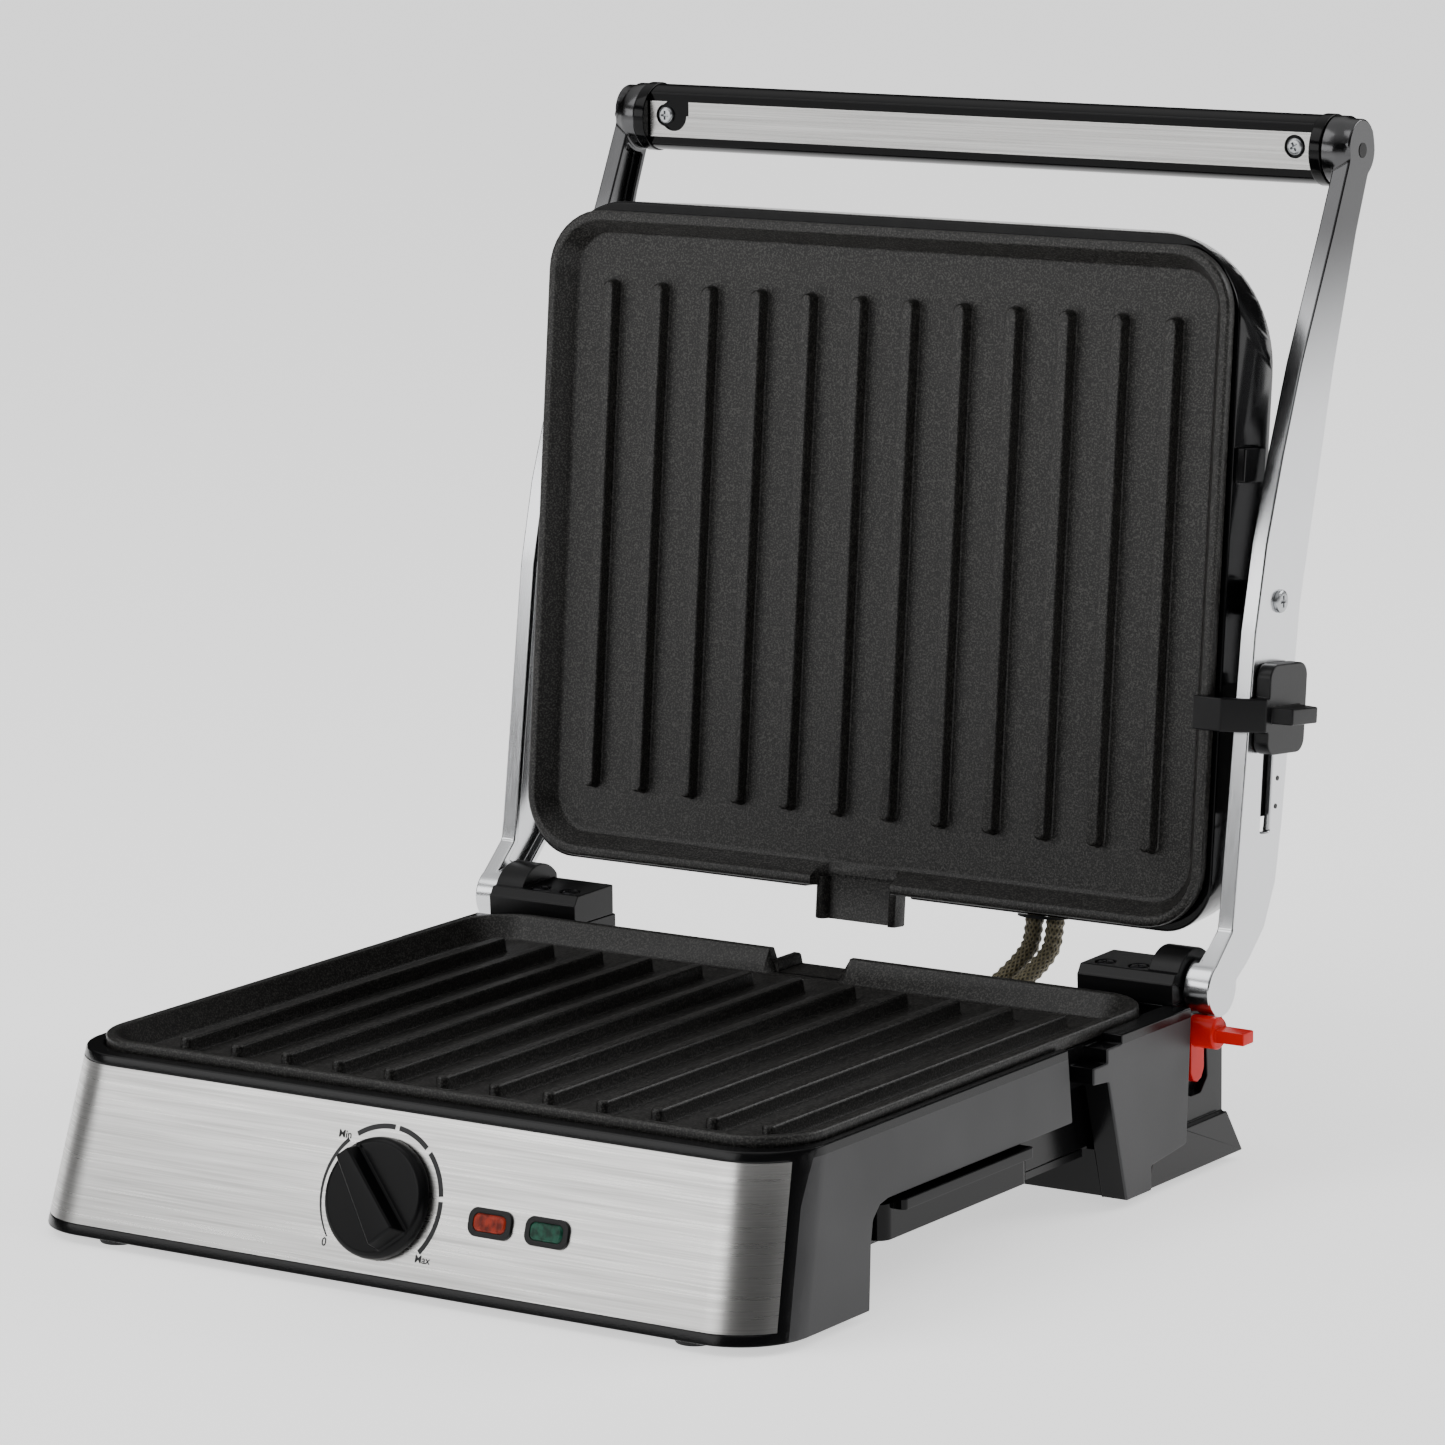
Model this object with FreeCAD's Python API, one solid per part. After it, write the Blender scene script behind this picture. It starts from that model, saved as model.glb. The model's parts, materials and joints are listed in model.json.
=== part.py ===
import FreeCAD, Part
import math
import os

# Contact grill (panini press) standing open. Millimetres. x runs to the right, y to the back and z up.
# While modelling, x = 0 is the symmetry plane, y = 0 the middle of the lower plate and z = 0 the
# surface that the grill stands on. At export every shape moves by -ORIGIN, so that the part's origin
# is the bottom centre of the box round the open grill.

Vector = FreeCAD.Vector
X_AXIS = Vector(1, 0, 0)
ORIGIN = Vector(6.4, 47.6, 0)

# grill plates, both the same casting
PLATE_WIDTH = 279.0
PLATE_DEPTH = 232.0
PLATE_CORNER = 22.0
PLATE_RIM_UP = 3.0
PLATE_FLANGE_DOWN = 2.0
PLATE_FLOOR = -5.0
PLATE_THICK = 3.0
PLATE_SKIRT_DOWN = 12.0
PLATE_BODY_INSET = 4.0
RIB_COUNT = 12
RIB_PITCH = 21.0
RIB_LENGTH = 182.0
RIB_WIDTH = 4.4
SPOUT_WIDTH = 33.0
SPOUT_OUT = 12.0
LOWER_RIB_TOP = 60.5

# lid: its own frame has y from the hinge end outwards and z along the plate's outward normal
LID_LEAN = 84.4
LID_FOOT = Vector(0, 144.1, 105.9)
LID_HALF_WIDTH = 141.0
LID_END_LOW = -26.5
LID_END_HIGH = 210.5
LID_FRONT = -2.5
LID_SIDE_BACK = -27.0
LID_BACK = -36.0

# hinge and arms
HINGE_Y = 134.5
HINGE_Z = 64.6
PIVOT_Y = 172.6
PIVOT_Z = 191.7
BAR_Y = 229.7
BAR_Z = 339.2
ARM_OUTER = 152.0
ARM_WEB = 2.5
ARM_FLANGE = 2.6
ARM_INNER = 145.9
BOSS_RADIUS = 9.7
BOSS_INNER = 142.0
PIN_RADIUS = 4.0
RUN_GAP = 0.05

# handle
BAR_RADIUS = 12.0
BAR_HALF = 137.5
STRIP_HEIGHT = 13.0
STRIP_SCREW_X = 130.2
FLAT_Y = 222.3

# base
BASE_BOTTOM = 3.0
BASE_TOP = 60.3
BASE_HALF_BOTTOM = 147.5
BASE_HALF_TOP = 143.5
BASE_FRONT_BOTTOM = -140.5
BASE_FRONT_TOP = -122.5
BASE_CORNER = 24.0
SKIRT_END = 47.0
SKIRT_BOTTOM = 35.8
WALL = 3.0
TUB_HALF = 134.5
TUB_FRONT = -98.0
TUB_BACK = 119.2
TUB_BOTTOM = 20.5
LEDGE_TOP = 58.2
BELLY_THICK = 2.5
TOWER_INNER = 104.0
TOWER_OUTER = 148.0
TOWER_CORE_OUTER = 141.4
TOWER_TOP = 60.4
STEEL = 0.8

# front panel controls: the panel's frame has x across, y up the panel and z outwards
PANEL_TILT = math.degrees(math.atan2(BASE_TOP - BASE_BOTTOM, BASE_FRONT_TOP - BASE_FRONT_BOTTOM))
PANEL_POINT = Vector(0, -132.02, 30.0)
KNOB_X = -4.0
KNOB_RADIUS = 19.8
KNOB_TURN = 39.0
SHAFT_RADIUS = 3.0
LAMP_PLACES = {"red": (39.5, -2.2), "green": (61.3, -2.1)}
LAMP_SIZE = (16.5, 9.4)
LENS_SIZE = (12.5, 5.8)

# height catch, in the lid's frame
CATCH_LOW = 36.8
CATCH_HIGH = 67.6
CATCH_FRONT = -6.0
CATCH_BACK = -31.9
CATCH_INNER = 152.4
CATCH_OUTER = 158.0
CATCH_MIDDLE = 50.4
CATCH_BAR = 11.5
CATCH_TRAVEL = 22.0
SHOE_LOW = 14.4
SLOT_Y = -18.2
SLOT_WIDTH = 6.5
SLOT_LOW = 9.5
SLOT_HIGH = 62.0

# release lever
LEVER_Y = 126.4
LEVER_Z = 51.2
LEVER_RADIUS = 5.5
LEVER_STEM = 3.5
LEVER_TRAVEL = 4.5
SPRING_SHELF = 33.0

# drip tray
TRAY_LEFT = -70.0
TRAY_RIGHT = 143.0
TRAY_FRONT = -66.0
TRAY_BACK = 24.0
TRAY_BOTTOM = 20.9
TRAY_TOP = 33.0
TRAY_WALL = 1.6


# ---------- small helpers ----------

def box(x0, x1, y0, y1, z0, z1):
    """A block between two corners."""
    return Part.makeBox(x1 - x0, y1 - y0, z1 - z0, Vector(x0, y0, z0))


def rod(radius, x0, x1, y, z):
    """A cylinder along x."""
    return Part.makeCylinder(radius, x1 - x0, Vector(x0, y, z), X_AXIS)


def post(radius, x, y, z0, z1):
    """A cylinder along z."""
    return Part.makeCylinder(radius, z1 - z0, Vector(x, y, z0), Vector(0, 0, 1))


def side_prism(points, x0, x1):
    """A side outline of (y, z) points, as thick as x0 to x1."""
    corners = [Vector(x0, y, z) for y, z in points]
    face = Part.Face(Part.makePolygon(corners + corners[:1]))
    return face.extrude(Vector(x1 - x0, 0, 0))


def plan_prism(points, z0, z1):
    """A plan outline of (x, y) points, as high as z0 to z1."""
    corners = [Vector(x, y, z0) for x, y in points]
    face = Part.Face(Part.makePolygon(corners + corners[:1]))
    return face.extrude(Vector(0, 0, z1 - z0))


def corner_arc(centre, radius, start):
    """A quarter circle in plan, from the angle start, anticlockwise."""
    def at(degrees):
        turn = math.radians(degrees)
        return centre + Vector(radius * math.cos(turn), radius * math.sin(turn), 0)
    return at(start), Part.Arc(at(start), at(start + 45), at(start + 90)).toShape(), at(start + 90)


def plan_wire(x0, x1, y0, y1, front, back, z):
    """A rectangle in plan with rounded corners: radius front at y0 and back at y1."""
    centres = [
        (Vector(x1 - back, y1 - back, z), back, 0),
        (Vector(x0 + back, y1 - back, z), back, 90),
        (Vector(x0 + front, y0 + front, z), front, 180),
        (Vector(x1 - front, y0 + front, z), front, 270),
    ]
    arcs = [corner_arc(*values) for values in centres]
    edges = []
    for number, (_, arc, end) in enumerate(arcs):
        edges.append(arc)
        edges.append(Part.makeLine(end, arcs[(number + 1) % 4][0]))
    return Part.Wire(edges)


def rounded_block(x0, x1, y0, y1, radius, z0, z1):
    """A block with its four upright edges rounded."""
    face = Part.Face(plan_wire(x0, x1, y0, y1, radius, radius, z0))
    return face.extrude(Vector(0, 0, z1 - z0))


def loft(*wires):
    """A solid through plan wires, ruled from one to the next."""
    return Part.makeLoft(list(wires), True, True)


def joined(*shapes):
    """One solid from several that touch or overlap."""
    whole = shapes[0].multiFuse(list(shapes[1:])) if len(shapes) > 1 else shapes[0]
    return whole.removeSplitter()


def without(shape, *tools):
    """The shape with other shapes cut away."""
    for tool in tools:
        shape = shape.cut(tool)
    return shape


def mirrored(shape):
    """The same piece on the other side of the symmetry plane."""
    return shape.mirror(Vector(0, 0, 0), X_AXIS)


def pair(shape):
    """A right-hand piece and its left-hand twin, as two solids."""
    return Part.makeCompound([shape, mirrored(shape)])


def in_lid(shape):
    """Moves a shape from the lid's flat frame to its open place."""
    placed = shape.copy()
    placed.rotate(Vector(0, 0, 0), X_AXIS, LID_LEAN)
    placed.translate(LID_FOOT)
    return placed


def on_panel(shape):
    """Moves a shape from the front panel's frame to its place."""
    placed = shape.copy()
    placed.rotate(Vector(0, 0, 0), X_AXIS, PANEL_TILT)
    placed.translate(PANEL_POINT)
    return placed


def bent_path(points, share=0.45):
    """Straight runs joined by tangent arcs, each as large as its two runs allow."""
    edges = []
    start = points[0]
    for before, corner, after in zip(points, points[1:], points[2:]):
        back = (before - corner).normalize()
        ahead = (after - corner).normalize()
        reach = share * min((before - corner).Length, (after - corner).Length)
        half = 0.5 * (math.pi - back.getAngle(ahead))
        radius = reach / math.tan(half)
        middle = (back + ahead).normalize()
        crown = corner + middle * (radius / math.cos(half) - radius)
        first = corner + back * reach
        last = corner + ahead * reach
        edges.append(Part.makeLine(start, first))
        edges.append(Part.Arc(first, crown, last).toShape())
        start = last
    edges.append(Part.makeLine(start, points[-1]))
    return Part.Wire(edges)


def tube(path, radius):
    """A round bar along a wire path."""
    start = path.Edges[0]
    first = start.valueAt(start.FirstParameter)
    ring = Part.Wire(Part.makeCircle(radius, first, start.tangentAt(start.FirstParameter)))
    return path.makePipeShell([ring], True, True)


def screw(head_radius, head_height, shank_radius, shank_length):
    """A pan-head screw with a cross recess, its head's underside at z = 0 and its head towards +z."""
    head = Part.makeCylinder(head_radius, head_height)
    head = head.makeFillet(0.45 * head_height, [head.Edges[0]])
    bar = box(-0.6 * head_radius, 0.6 * head_radius, -0.35, 0.35, 0.45 * head_height, head_height)
    cross = bar.copy()
    cross.rotate(Vector(0, 0, 0), Vector(0, 0, 1), 90)
    shank = Part.makeCylinder(shank_radius, shank_length, Vector(0, 0, -shank_length))
    return joined(without(head, bar, cross), shank)


# ---------- grill plates ----------

def plate_block(inset, radius, z0, z1):
    """A rounded slab of the plate's outline, set in all round."""
    half_width = PLATE_WIDTH / 2 - inset
    half_depth = PLATE_DEPTH / 2 - inset
    return rounded_block(-half_width, half_width, -half_depth, half_depth, radius, z0, z1)


def plate_ring(inset, radius, z):
    """The plate's outline, set in all round, as a wire."""
    half_width = PLATE_WIDTH / 2 - inset
    half_depth = PLATE_DEPTH / 2 - inset
    return plan_wire(-half_width, half_width, -half_depth, half_depth, radius, radius, z)


def rib(x):
    """One rib with drafted sides and rounded ends, its top at z = 0."""
    def outline(width, length, z):
        radius = 0.499 * width
        return plan_wire(x - width / 2, x + width / 2, -length / 2, length / 2, radius, radius, z)
    return loft(outline(RIB_WIDTH + 1.6, RIB_LENGTH + 1.6, PLATE_FLOOR - 0.2),
                outline(RIB_WIDTH, RIB_LENGTH, -1.0),
                outline(RIB_WIDTH - 1.2, RIB_LENGTH - 1.2, 0.0))


def grill_plate():
    """The ribbed casting, rib tops at z = 0, with its grease spout towards -y."""
    flange = plate_block(0, PLATE_CORNER, -PLATE_FLANGE_DOWN, PLATE_RIM_UP)
    body = plate_block(PLATE_BODY_INSET, PLATE_CORNER - PLATE_BODY_INSET, -PLATE_SKIRT_DOWN, 0)
    pocket = loft(plate_ring(10, 13, PLATE_FLOOR), plate_ring(3.2, 19, PLATE_RIM_UP + 0.1))
    under_top = PLATE_FLOOR - PLATE_THICK
    under = plate_block(PLATE_BODY_INSET + 3, 15, -PLATE_SKIRT_DOWN - 1, under_top)
    plate = without(joined(flange, body), pocket, under)
    edge = PLATE_DEPTH / 2
    half = SPOUT_WIDTH / 2
    spout = plan_prism([(-half - 4, -edge + 6), (half + 4, -edge + 6), (half, -edge - 1),
                        (half, -edge - SPOUT_OUT), (-half, -edge - SPOUT_OUT), (-half, -edge - 1)],
                       under_top, -1.0)
    channel = box(-half + 3, half - 3, -edge - SPOUT_OUT - 1, -edge + 12, PLATE_FLOOR, PLATE_RIM_UP + 1)
    plate = without(joined(plate, spout), channel)
    first = -0.5 * (RIB_COUNT - 1) * RIB_PITCH
    ribs = [rib(first + number * RIB_PITCH) for number in range(RIB_COUNT)]
    return joined(plate, *ribs)


def upper_grill_plate():
    plate = grill_plate()
    plate.translate(Vector(0, RIB_LENGTH / 2, 0))
    return in_lid(plate)


def lower_grill_plate():
    plate = grill_plate()
    plate.rotate(Vector(0, 0, 0), Vector(0, 0, 1), 180)
    plate.translate(Vector(0, 0, LOWER_RIB_TOP))
    return plate


# ---------- heating ----------

def heating_element():
    """An open loop of sheathed heating tube, its axis at z = 0, with its ends at +y."""
    points = [Vector(-18, 78, 0), Vector(-105, 78, 0), Vector(-105, -78, 0),
              Vector(105, -78, 0), Vector(105, 78, 0), Vector(18, 78, 0)]
    return tube(bent_path(points, 0.32), 3.2)


def reflector(half_width, half_depth, corner):
    """A shallow tray of bright sheet, 0.8 thick, its floor's underside at z = 0."""
    outer = rounded_block(-half_width, half_width, -half_depth, half_depth, corner, 0, 6)
    inner = rounded_block(-half_width + 0.8, half_width - 0.8, -half_depth + 0.8, half_depth - 0.8,
                          corner - 0.8, 0.8, 7)
    return outer.cut(inner)


def lower_element():
    element = heating_element()
    element.translate(Vector(0, 0, LOWER_RIB_TOP + PLATE_FLOOR - PLATE_THICK - 3.2))
    return element


def lower_reflector():
    tray = reflector(127, 91, 12)
    tray.translate(Vector(0, 3, 39.4))
    return tray


def upper_element():
    element = heating_element()
    element.rotate(Vector(0, 0, 0), Vector(0, 0, 1), 180)
    element.translate(Vector(0, RIB_LENGTH / 2, PLATE_FLOOR - PLATE_THICK - 3.2))
    return in_lid(element)


def upper_reflector():
    tray = reflector(127, 105, 30)
    tray.translate(Vector(0, RIB_LENGTH / 2, -25))
    return in_lid(tray)


# ---------- base ----------

def base_loft(inset, z0, z1):
    """The leaning outer form of the base between two heights, set in by inset."""
    def ring(z):
        share = (z - BASE_BOTTOM) / (BASE_TOP - BASE_BOTTOM)
        half = BASE_HALF_BOTTOM + share * (BASE_HALF_TOP - BASE_HALF_BOTTOM) - inset
        front = BASE_FRONT_BOTTOM + share * (BASE_FRONT_TOP - BASE_FRONT_BOTTOM) + inset
        return plan_wire(-half, half, front, 130, BASE_CORNER - inset, 5, z)
    return loft(ring(z0), ring(z1))


def steel_outline():
    """What the brushed panel covers, seen from the side."""
    return side_prism([(-160, 6.8), (-160, 57), (-112.8, 57), (-128, 6.8)], -160, 160)


def front_shell():
    """Front face, front legs and side skirts as one moulded wall, with the deck round the plate."""
    wall = base_loft(0, BASE_BOTTOM, BASE_TOP).cut(base_loft(WALL, BASE_BOTTOM - 1, BASE_TOP + 1))
    deck = base_loft(WALL - 0.2, LEDGE_TOP - 3, LEDGE_TOP)
    rim = base_loft(WALL - 0.2, LEDGE_TOP - 1, BASE_TOP)
    legs = base_loft(1, BASE_BOTTOM, SKIRT_BOTTOM + 2)
    legs = legs.common(side_prism([(-84, 0), (-81.5, 0), (-76, 40), (-78.5, 40)], -160, 160))
    legs = legs.cut(box(-130, 130, -200, 200, 0, 60))
    ends = base_loft(1, SKIRT_BOTTOM, LEDGE_TOP).common(box(-160, 160, SKIRT_END - 3, SKIRT_END, 0, 70))
    shell = joined(wall, deck, rim, legs, ends)
    past = box(-160, 160, SKIRT_END, 200, -1, 80)
    under = side_prism([(-81.5, -1), (-77.5, 24), (-75.5, 31), (-71, 34.8), (-66, SKIRT_BOTTOM),
                        (60, SKIRT_BOTTOM), (60, -1)], -160, 160)
    return without(shell, past, under)


def tub():
    """The inner box that holds the element, its top ring carrying the plate's skirt."""
    ring = rounded_block(-138.4, 138.4, -115, TUB_BACK, 20, 44, LEDGE_TOP)
    lower = rounded_block(-TUB_HALF, TUB_HALF, TUB_FRONT, TUB_BACK, 12, TUB_BOTTOM, 45)
    return joined(ring, lower)


def tub_hollow():
    """The space inside the tub, its tray door and the notch for the plate's spout."""
    upper = rounded_block(-136.2, 136.2, -112.8, 116.8, 19, 46.2, 62)
    lower = rounded_block(-TUB_HALF + 2.5, TUB_HALF - 2.5, TUB_FRONT + 2.5, 116.7, 10, TUB_BOTTOM - 1, 47)
    door = box(120, 140, TRAY_FRONT - 1.2, TRAY_BACK + 1.2, TUB_BOTTOM - 1, 35.2)
    notch = box(-SPOUT_WIDTH / 2 - 1, SPOUT_WIDTH / 2 + 1, 110, 125, 49.5, 70)
    grease = box(-15.5, 15.5, 110, 125, 34.5, 41.5)
    return [upper, lower, door, notch, grease]


def tower_steps():
    """The outer side panel of the right tower, with its three height stops in front."""
    outline = [(77.7, BASE_BOTTOM), (65.8, 46), (56.1, 46.8), (56.1, 52.4), (65.1, 52.4), (65.1, 57.2),
               (74.1, 57.2), (74.1, TOWER_TOP), (120.6, TOWER_TOP), (117.5, 14), (94, 11.5),
               (94, BASE_BOTTOM)]
    return side_prism(outline, 138, TOWER_OUTER)


def right_tower():
    """The tower that carries the right hinge block, with its rear foot."""
    low = side_prism([(78.5, BASE_BOTTOM), (73.5, TUB_BOTTOM), (147, TUB_BOTTOM), (147, BASE_BOTTOM)],
                     TOWER_INNER, 138.2)
    core = box(TOWER_INNER, TOWER_CORE_OUTER, TUB_BACK - 0.5, 145, BASE_BOTTOM, TOWER_TOP)
    rear = box(TOWER_INNER, 144.5, 118, 148, BASE_BOTTOM, 52)
    rear = rear.cut(box(0, 140, 110, TUB_BACK - 0.5, 0, 60))
    foot = side_prism([(93, BASE_BOTTOM), (98, 17.5), (118, 19), (147, 19), (158, BASE_BOTTOM)], 112, 147)
    shaft = joined(tower_steps(), low, core, rear, foot)
    hollow = joined(box(TOWER_INNER + 3, 138, TUB_BACK + 2.5, 142, BASE_BOTTOM + 2.5, 56),
                    box(TOWER_INNER + 3, 135, 84, 142, BASE_BOTTOM + 2.5, TUB_BOTTOM - 2.5))
    return shaft.cut(hollow)


def lever_room():
    """The recess for the lever's tongue and the upright slot for its stem, in the right tower."""
    recess = side_prism([(120.9, 53), (120.9, 34), (123, 29.5), (126.5, 28.3), (133, 28.3),
                         (137.5, 33), (136, 53)], TOWER_CORE_OUTER, 146)
    half = LEVER_STEM + 0.35
    slot = box(130, 150, LEVER_Y - half, LEVER_Y + half, LEVER_Z - LEVER_TRAVEL - half, LEVER_Z + half)
    return [recess, slot]


def lever_shelf():
    """The shelf inside the right tower that the lever's spring stands on."""
    return box(127, 138.2, TUB_BACK + 2, 132, SPRING_SHELF - 2.5, SPRING_SHELF)


def panel_holes():
    """Openings behind the front panel for the shaft and the two lamps."""
    holes = [on_panel(Part.makeCylinder(5.0, 12, Vector(KNOB_X, 0, -8)))]
    for x, y in LAMP_PLACES.values():
        holes.append(on_panel(lamp_block(x, y, (LAMP_SIZE[0] - 2, LAMP_SIZE[1] - 2), -8, 4)))
    return holes


def foot_posts():
    """Posts inside the front corners that the front feet are glued to."""
    posts = [rounded_block(104, 128, -137, -119, 5, BASE_BOTTOM, 11)]
    posts.append(mirrored(posts[0]))
    return [shape.common(base_loft(1, BASE_BOTTOM - 1, 20)) for shape in posts]


def lower_housing():
    tower = right_tower()
    body = joined(front_shell(), tub(), tower, mirrored(tower), lever_shelf(), *foot_posts())
    plate_room = plate_block(-0.7, PLATE_CORNER + 0.7, LEDGE_TOP, BASE_TOP + 2)
    body = without(body, plate_room, *tub_hollow(), *lever_room(), *panel_holes())
    body = body.cut(base_loft(-1, 0, 62).cut(base_loft(STEEL, -1, 63)).common(steel_outline()))
    gland_hole = Part.makeCylinder(5.0, 20, Vector(-122, 150, 34), Vector(0, -1, 0))
    loom_hole = Part.makeCylinder(9.5, 8, Vector(46, 114, 41), Vector(0, 1, 0))
    return without(body, gland_hole, loom_hole)


def front_panel():
    """The brushed steel wrap, let into the moulding by its own thickness."""
    skin = base_loft(0, 0, 62).cut(base_loft(STEEL, -1, 63)).common(steel_outline())
    return without(skin, *panel_holes())


def bottom_cover():
    """The sheet under the base: low in front, where the thermostat is, and higher behind."""
    top = TUB_BOTTOM - 0.1
    front = rounded_block(-129.5, 129.5, -115.5, -86, 6, 11.2, 11.2 + BELLY_THICK)
    riser = box(-129.5, 129.5, -88.5, -86, 11.2, top)
    middle = box(-129.5, 129.5, -88.5, 71, top - BELLY_THICK, top)
    sides = box(-TUB_HALF, TUB_HALF, -76, 71, top - BELLY_THICK, top)
    rear = box(-102.5, 102.5, 60, TUB_BACK - 1, top - BELLY_THICK, top)
    cover = joined(front, riser, middle, sides, rear)
    slots = [box(x - 1.5, x + 1.5, 40, 62, 10, 30) for x in range(-60, 61, 10)]
    return without(cover, bottom_screws(), *slots)


def bottom_screws():
    """Screws that hold the bottom cover, heads down."""
    screws = []
    for x, y in [(-96, -60), (96, -60), (-96, 60), (96, 60), (-60, 112), (60, 112)]:
        one = screw(3.4, 1.8, 1.4, 2.2)
        one.rotate(Vector(0, 0, 0), X_AXIS, 180)
        one.translate(Vector(x, y, TUB_BOTTOM - 0.1 - BELLY_THICK))
        screws.append(one)
    return Part.makeCompound(screws)


def rubber_feet():
    feet = []
    for x, y, top in [(114, -129, BASE_BOTTOM), (130, 136, BASE_BOTTOM)]:
        foot = Part.makeCone(6.2, 7.2, top, Vector(x, y, 0))
        feet += [foot, mirrored(foot)]
    return Part.makeCompound(feet)


def right_hinge_block():
    """The block on the right tower that the arm's pin turns in, with its round knuckle."""
    block = side_prism([(119.2, TOWER_TOP), (118.9, 67.6), (119.6, 68.2), (121.2, 70.8), (143.5, 71.2),
                        (143.5, TOWER_TOP)], TOWER_INNER, TOWER_CORE_OUTER)
    knuckle = rod(13, 129.5, TOWER_CORE_OUTER, HINGE_Y, HINGE_Z)
    knuckle = knuckle.cut(box(90, 160, 100, 170, 40, TOWER_TOP))
    knuckle = knuckle.cut(box(90, 160, 145, 170, 40, 90))
    bore = rod(PIN_RADIUS + RUN_GAP, 115, 150, HINGE_Y, HINGE_Z)
    seats = [post(3.6, x, 126.5, 69.4, 75) for x in (111, 124)]
    threads = [post(1.5, x, 126.5, 67.4, 70) for x in (111, 124)]
    return without(joined(block, knuckle), bore, *seats, *threads)


def hinge_block_screws():
    """Two sunk screws on top of each hinge block."""
    screws = []
    for x in (111, 124):
        one = screw(3.2, 1.6, 1.5, 2.0)
        one.translate(Vector(x, 126.5, 69.4))
        screws += [one, mirrored(one)]
    return Part.makeCompound(screws)


def thermostat():
    """The capillary thermostat behind the panel, with the bush that its shaft turns in."""
    drum = Part.makeCylinder(12.5, 11, Vector(KNOB_X, 0, -19))
    flange = rounded_block(KNOB_X - 17, KNOB_X + 17, -7, 7, 3, -8, -5.5)
    bush = Part.makeCylinder(4.6, 6, Vector(KNOB_X, 0, -6))
    bore = Part.makeCylinder(SHAFT_RADIUS + RUN_GAP, 30, Vector(KNOB_X, 0, -14))
    return on_panel(joined(drum, flange, bush).cut(bore))


def lamp_block(x, y, size, z0, z1):
    """A block with round ends, centred on a lamp's place in the panel's frame."""
    half_width = size[0] / 2
    half_height = size[1] / 2
    return rounded_block(x - half_width, x + half_width, y - half_height, y + half_height,
                         0.72 * half_height, z0, z1)


def indicator_bezels():
    """Black frames of the two indicator windows, each with a neck through the panel."""
    frames = []
    for x, y in LAMP_PLACES.values():
        face = lamp_block(x, y, LAMP_SIZE, 0.05, 1.1)
        neck = lamp_block(x, y, (LAMP_SIZE[0] - 2, LAMP_SIZE[1] - 2), -7, 0.05)
        hole = lamp_block(x, y, LENS_SIZE, -8, 2)
        frames.append(on_panel(joined(face, neck).cut(hole)))
    return Part.makeCompound(frames)


def indicator_lens(colour):
    """A lens that fills its frame and stands a little proud."""
    x, y = LAMP_PLACES[colour]
    return on_panel(loft_lens(x, y))


def loft_lens(x, y):
    """A lens in the panel's frame, bevelled towards its front."""
    width, height = LENS_SIZE
    body = lamp_block(x, y, LENS_SIZE, -1.5, 0.9)
    cap = loft(lens_ring(x, y, width, height, 0.9), lens_ring(x, y, width - 1.2, height - 1.2, 1.5))
    return joined(body, cap)


def lens_ring(x, y, width, height, z):
    """A lens outline as a wire."""
    radius = 0.36 * height
    return plan_wire(x - width / 2, x + width / 2, y - height / 2, y + height / 2, radius, radius, z)


def indicator_lamps():
    """A neon lamp behind each lens."""
    return Part.makeCompound([on_panel(Part.makeCylinder(2.4, 10, Vector(x, y, -12)))
                              for x, y in LAMP_PLACES.values()])


def terminal_block():
    """A ceramic block with three wire ways, on the bottom cover at the back."""
    block = box(-100, -70, 60, 78, TUB_BOTTOM, 34)
    ways = [Part.makeCylinder(2.0, 30, Vector(x, 55, 28), Vector(0, 1, 0)) for x in (-94, -85, -76)]
    return without(block, *ways)


def cord_gland():
    """The bush in the left tower's back wall that the mains lead would leave by."""
    flange = Part.makeCylinder(7.5, 2.5, Vector(-122, 148, 34), Vector(0, 1, 0))
    neck = Part.makeCylinder(5.0, 7, Vector(-122, 141, 34), Vector(0, 1, 0))
    bore = Part.makeCylinder(3.4, 20, Vector(-122, 138, 34), Vector(0, 1, 0))
    return joined(flange, neck).cut(bore)


def grease_chute():
    """The cup under the rear spout and the channel that leads forward above the tray."""
    cup = box(-15, 15, TUB_BACK + 0.2, 133, 33.5, 49)
    cup_hollow = box(-13.5, 13.5, TUB_BACK - 3, 131.5, 36.4, 50)
    lane = side_prism([(TUB_BACK + 0.3, 34.9), (TUB_BACK + 0.3, 39.1), (14, 37.9), (14, 33.7)], -15, 15)
    lane_hollow = side_prism([(TUB_BACK + 1, 36.4), (TUB_BACK + 1, 42), (12, 40), (12, 35.2)], -13.5, 13.5)
    return without(joined(cup, lane), cup_hollow, lane_hollow)


def lever_spring():
    """The coil that lifts the release lever back, between its shelf and the lever's stem."""
    coil = Part.makeHelix(2.7, LEVER_Z - LEVER_STEM - SPRING_SHELF - 1.3, 3.2)
    coil.translate(Vector(131.5, LEVER_Y, SPRING_SHELF + 0.65))
    start = coil.Edges[0].valueAt(coil.Edges[0].FirstParameter)
    ring = Part.Wire(Part.makeCircle(0.55, start, coil.Edges[0].tangentAt(coil.Edges[0].FirstParameter)))
    return Part.Wire(coil.Edges).makePipeShell([ring], True, True)


# ---------- moving controls ----------

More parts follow.
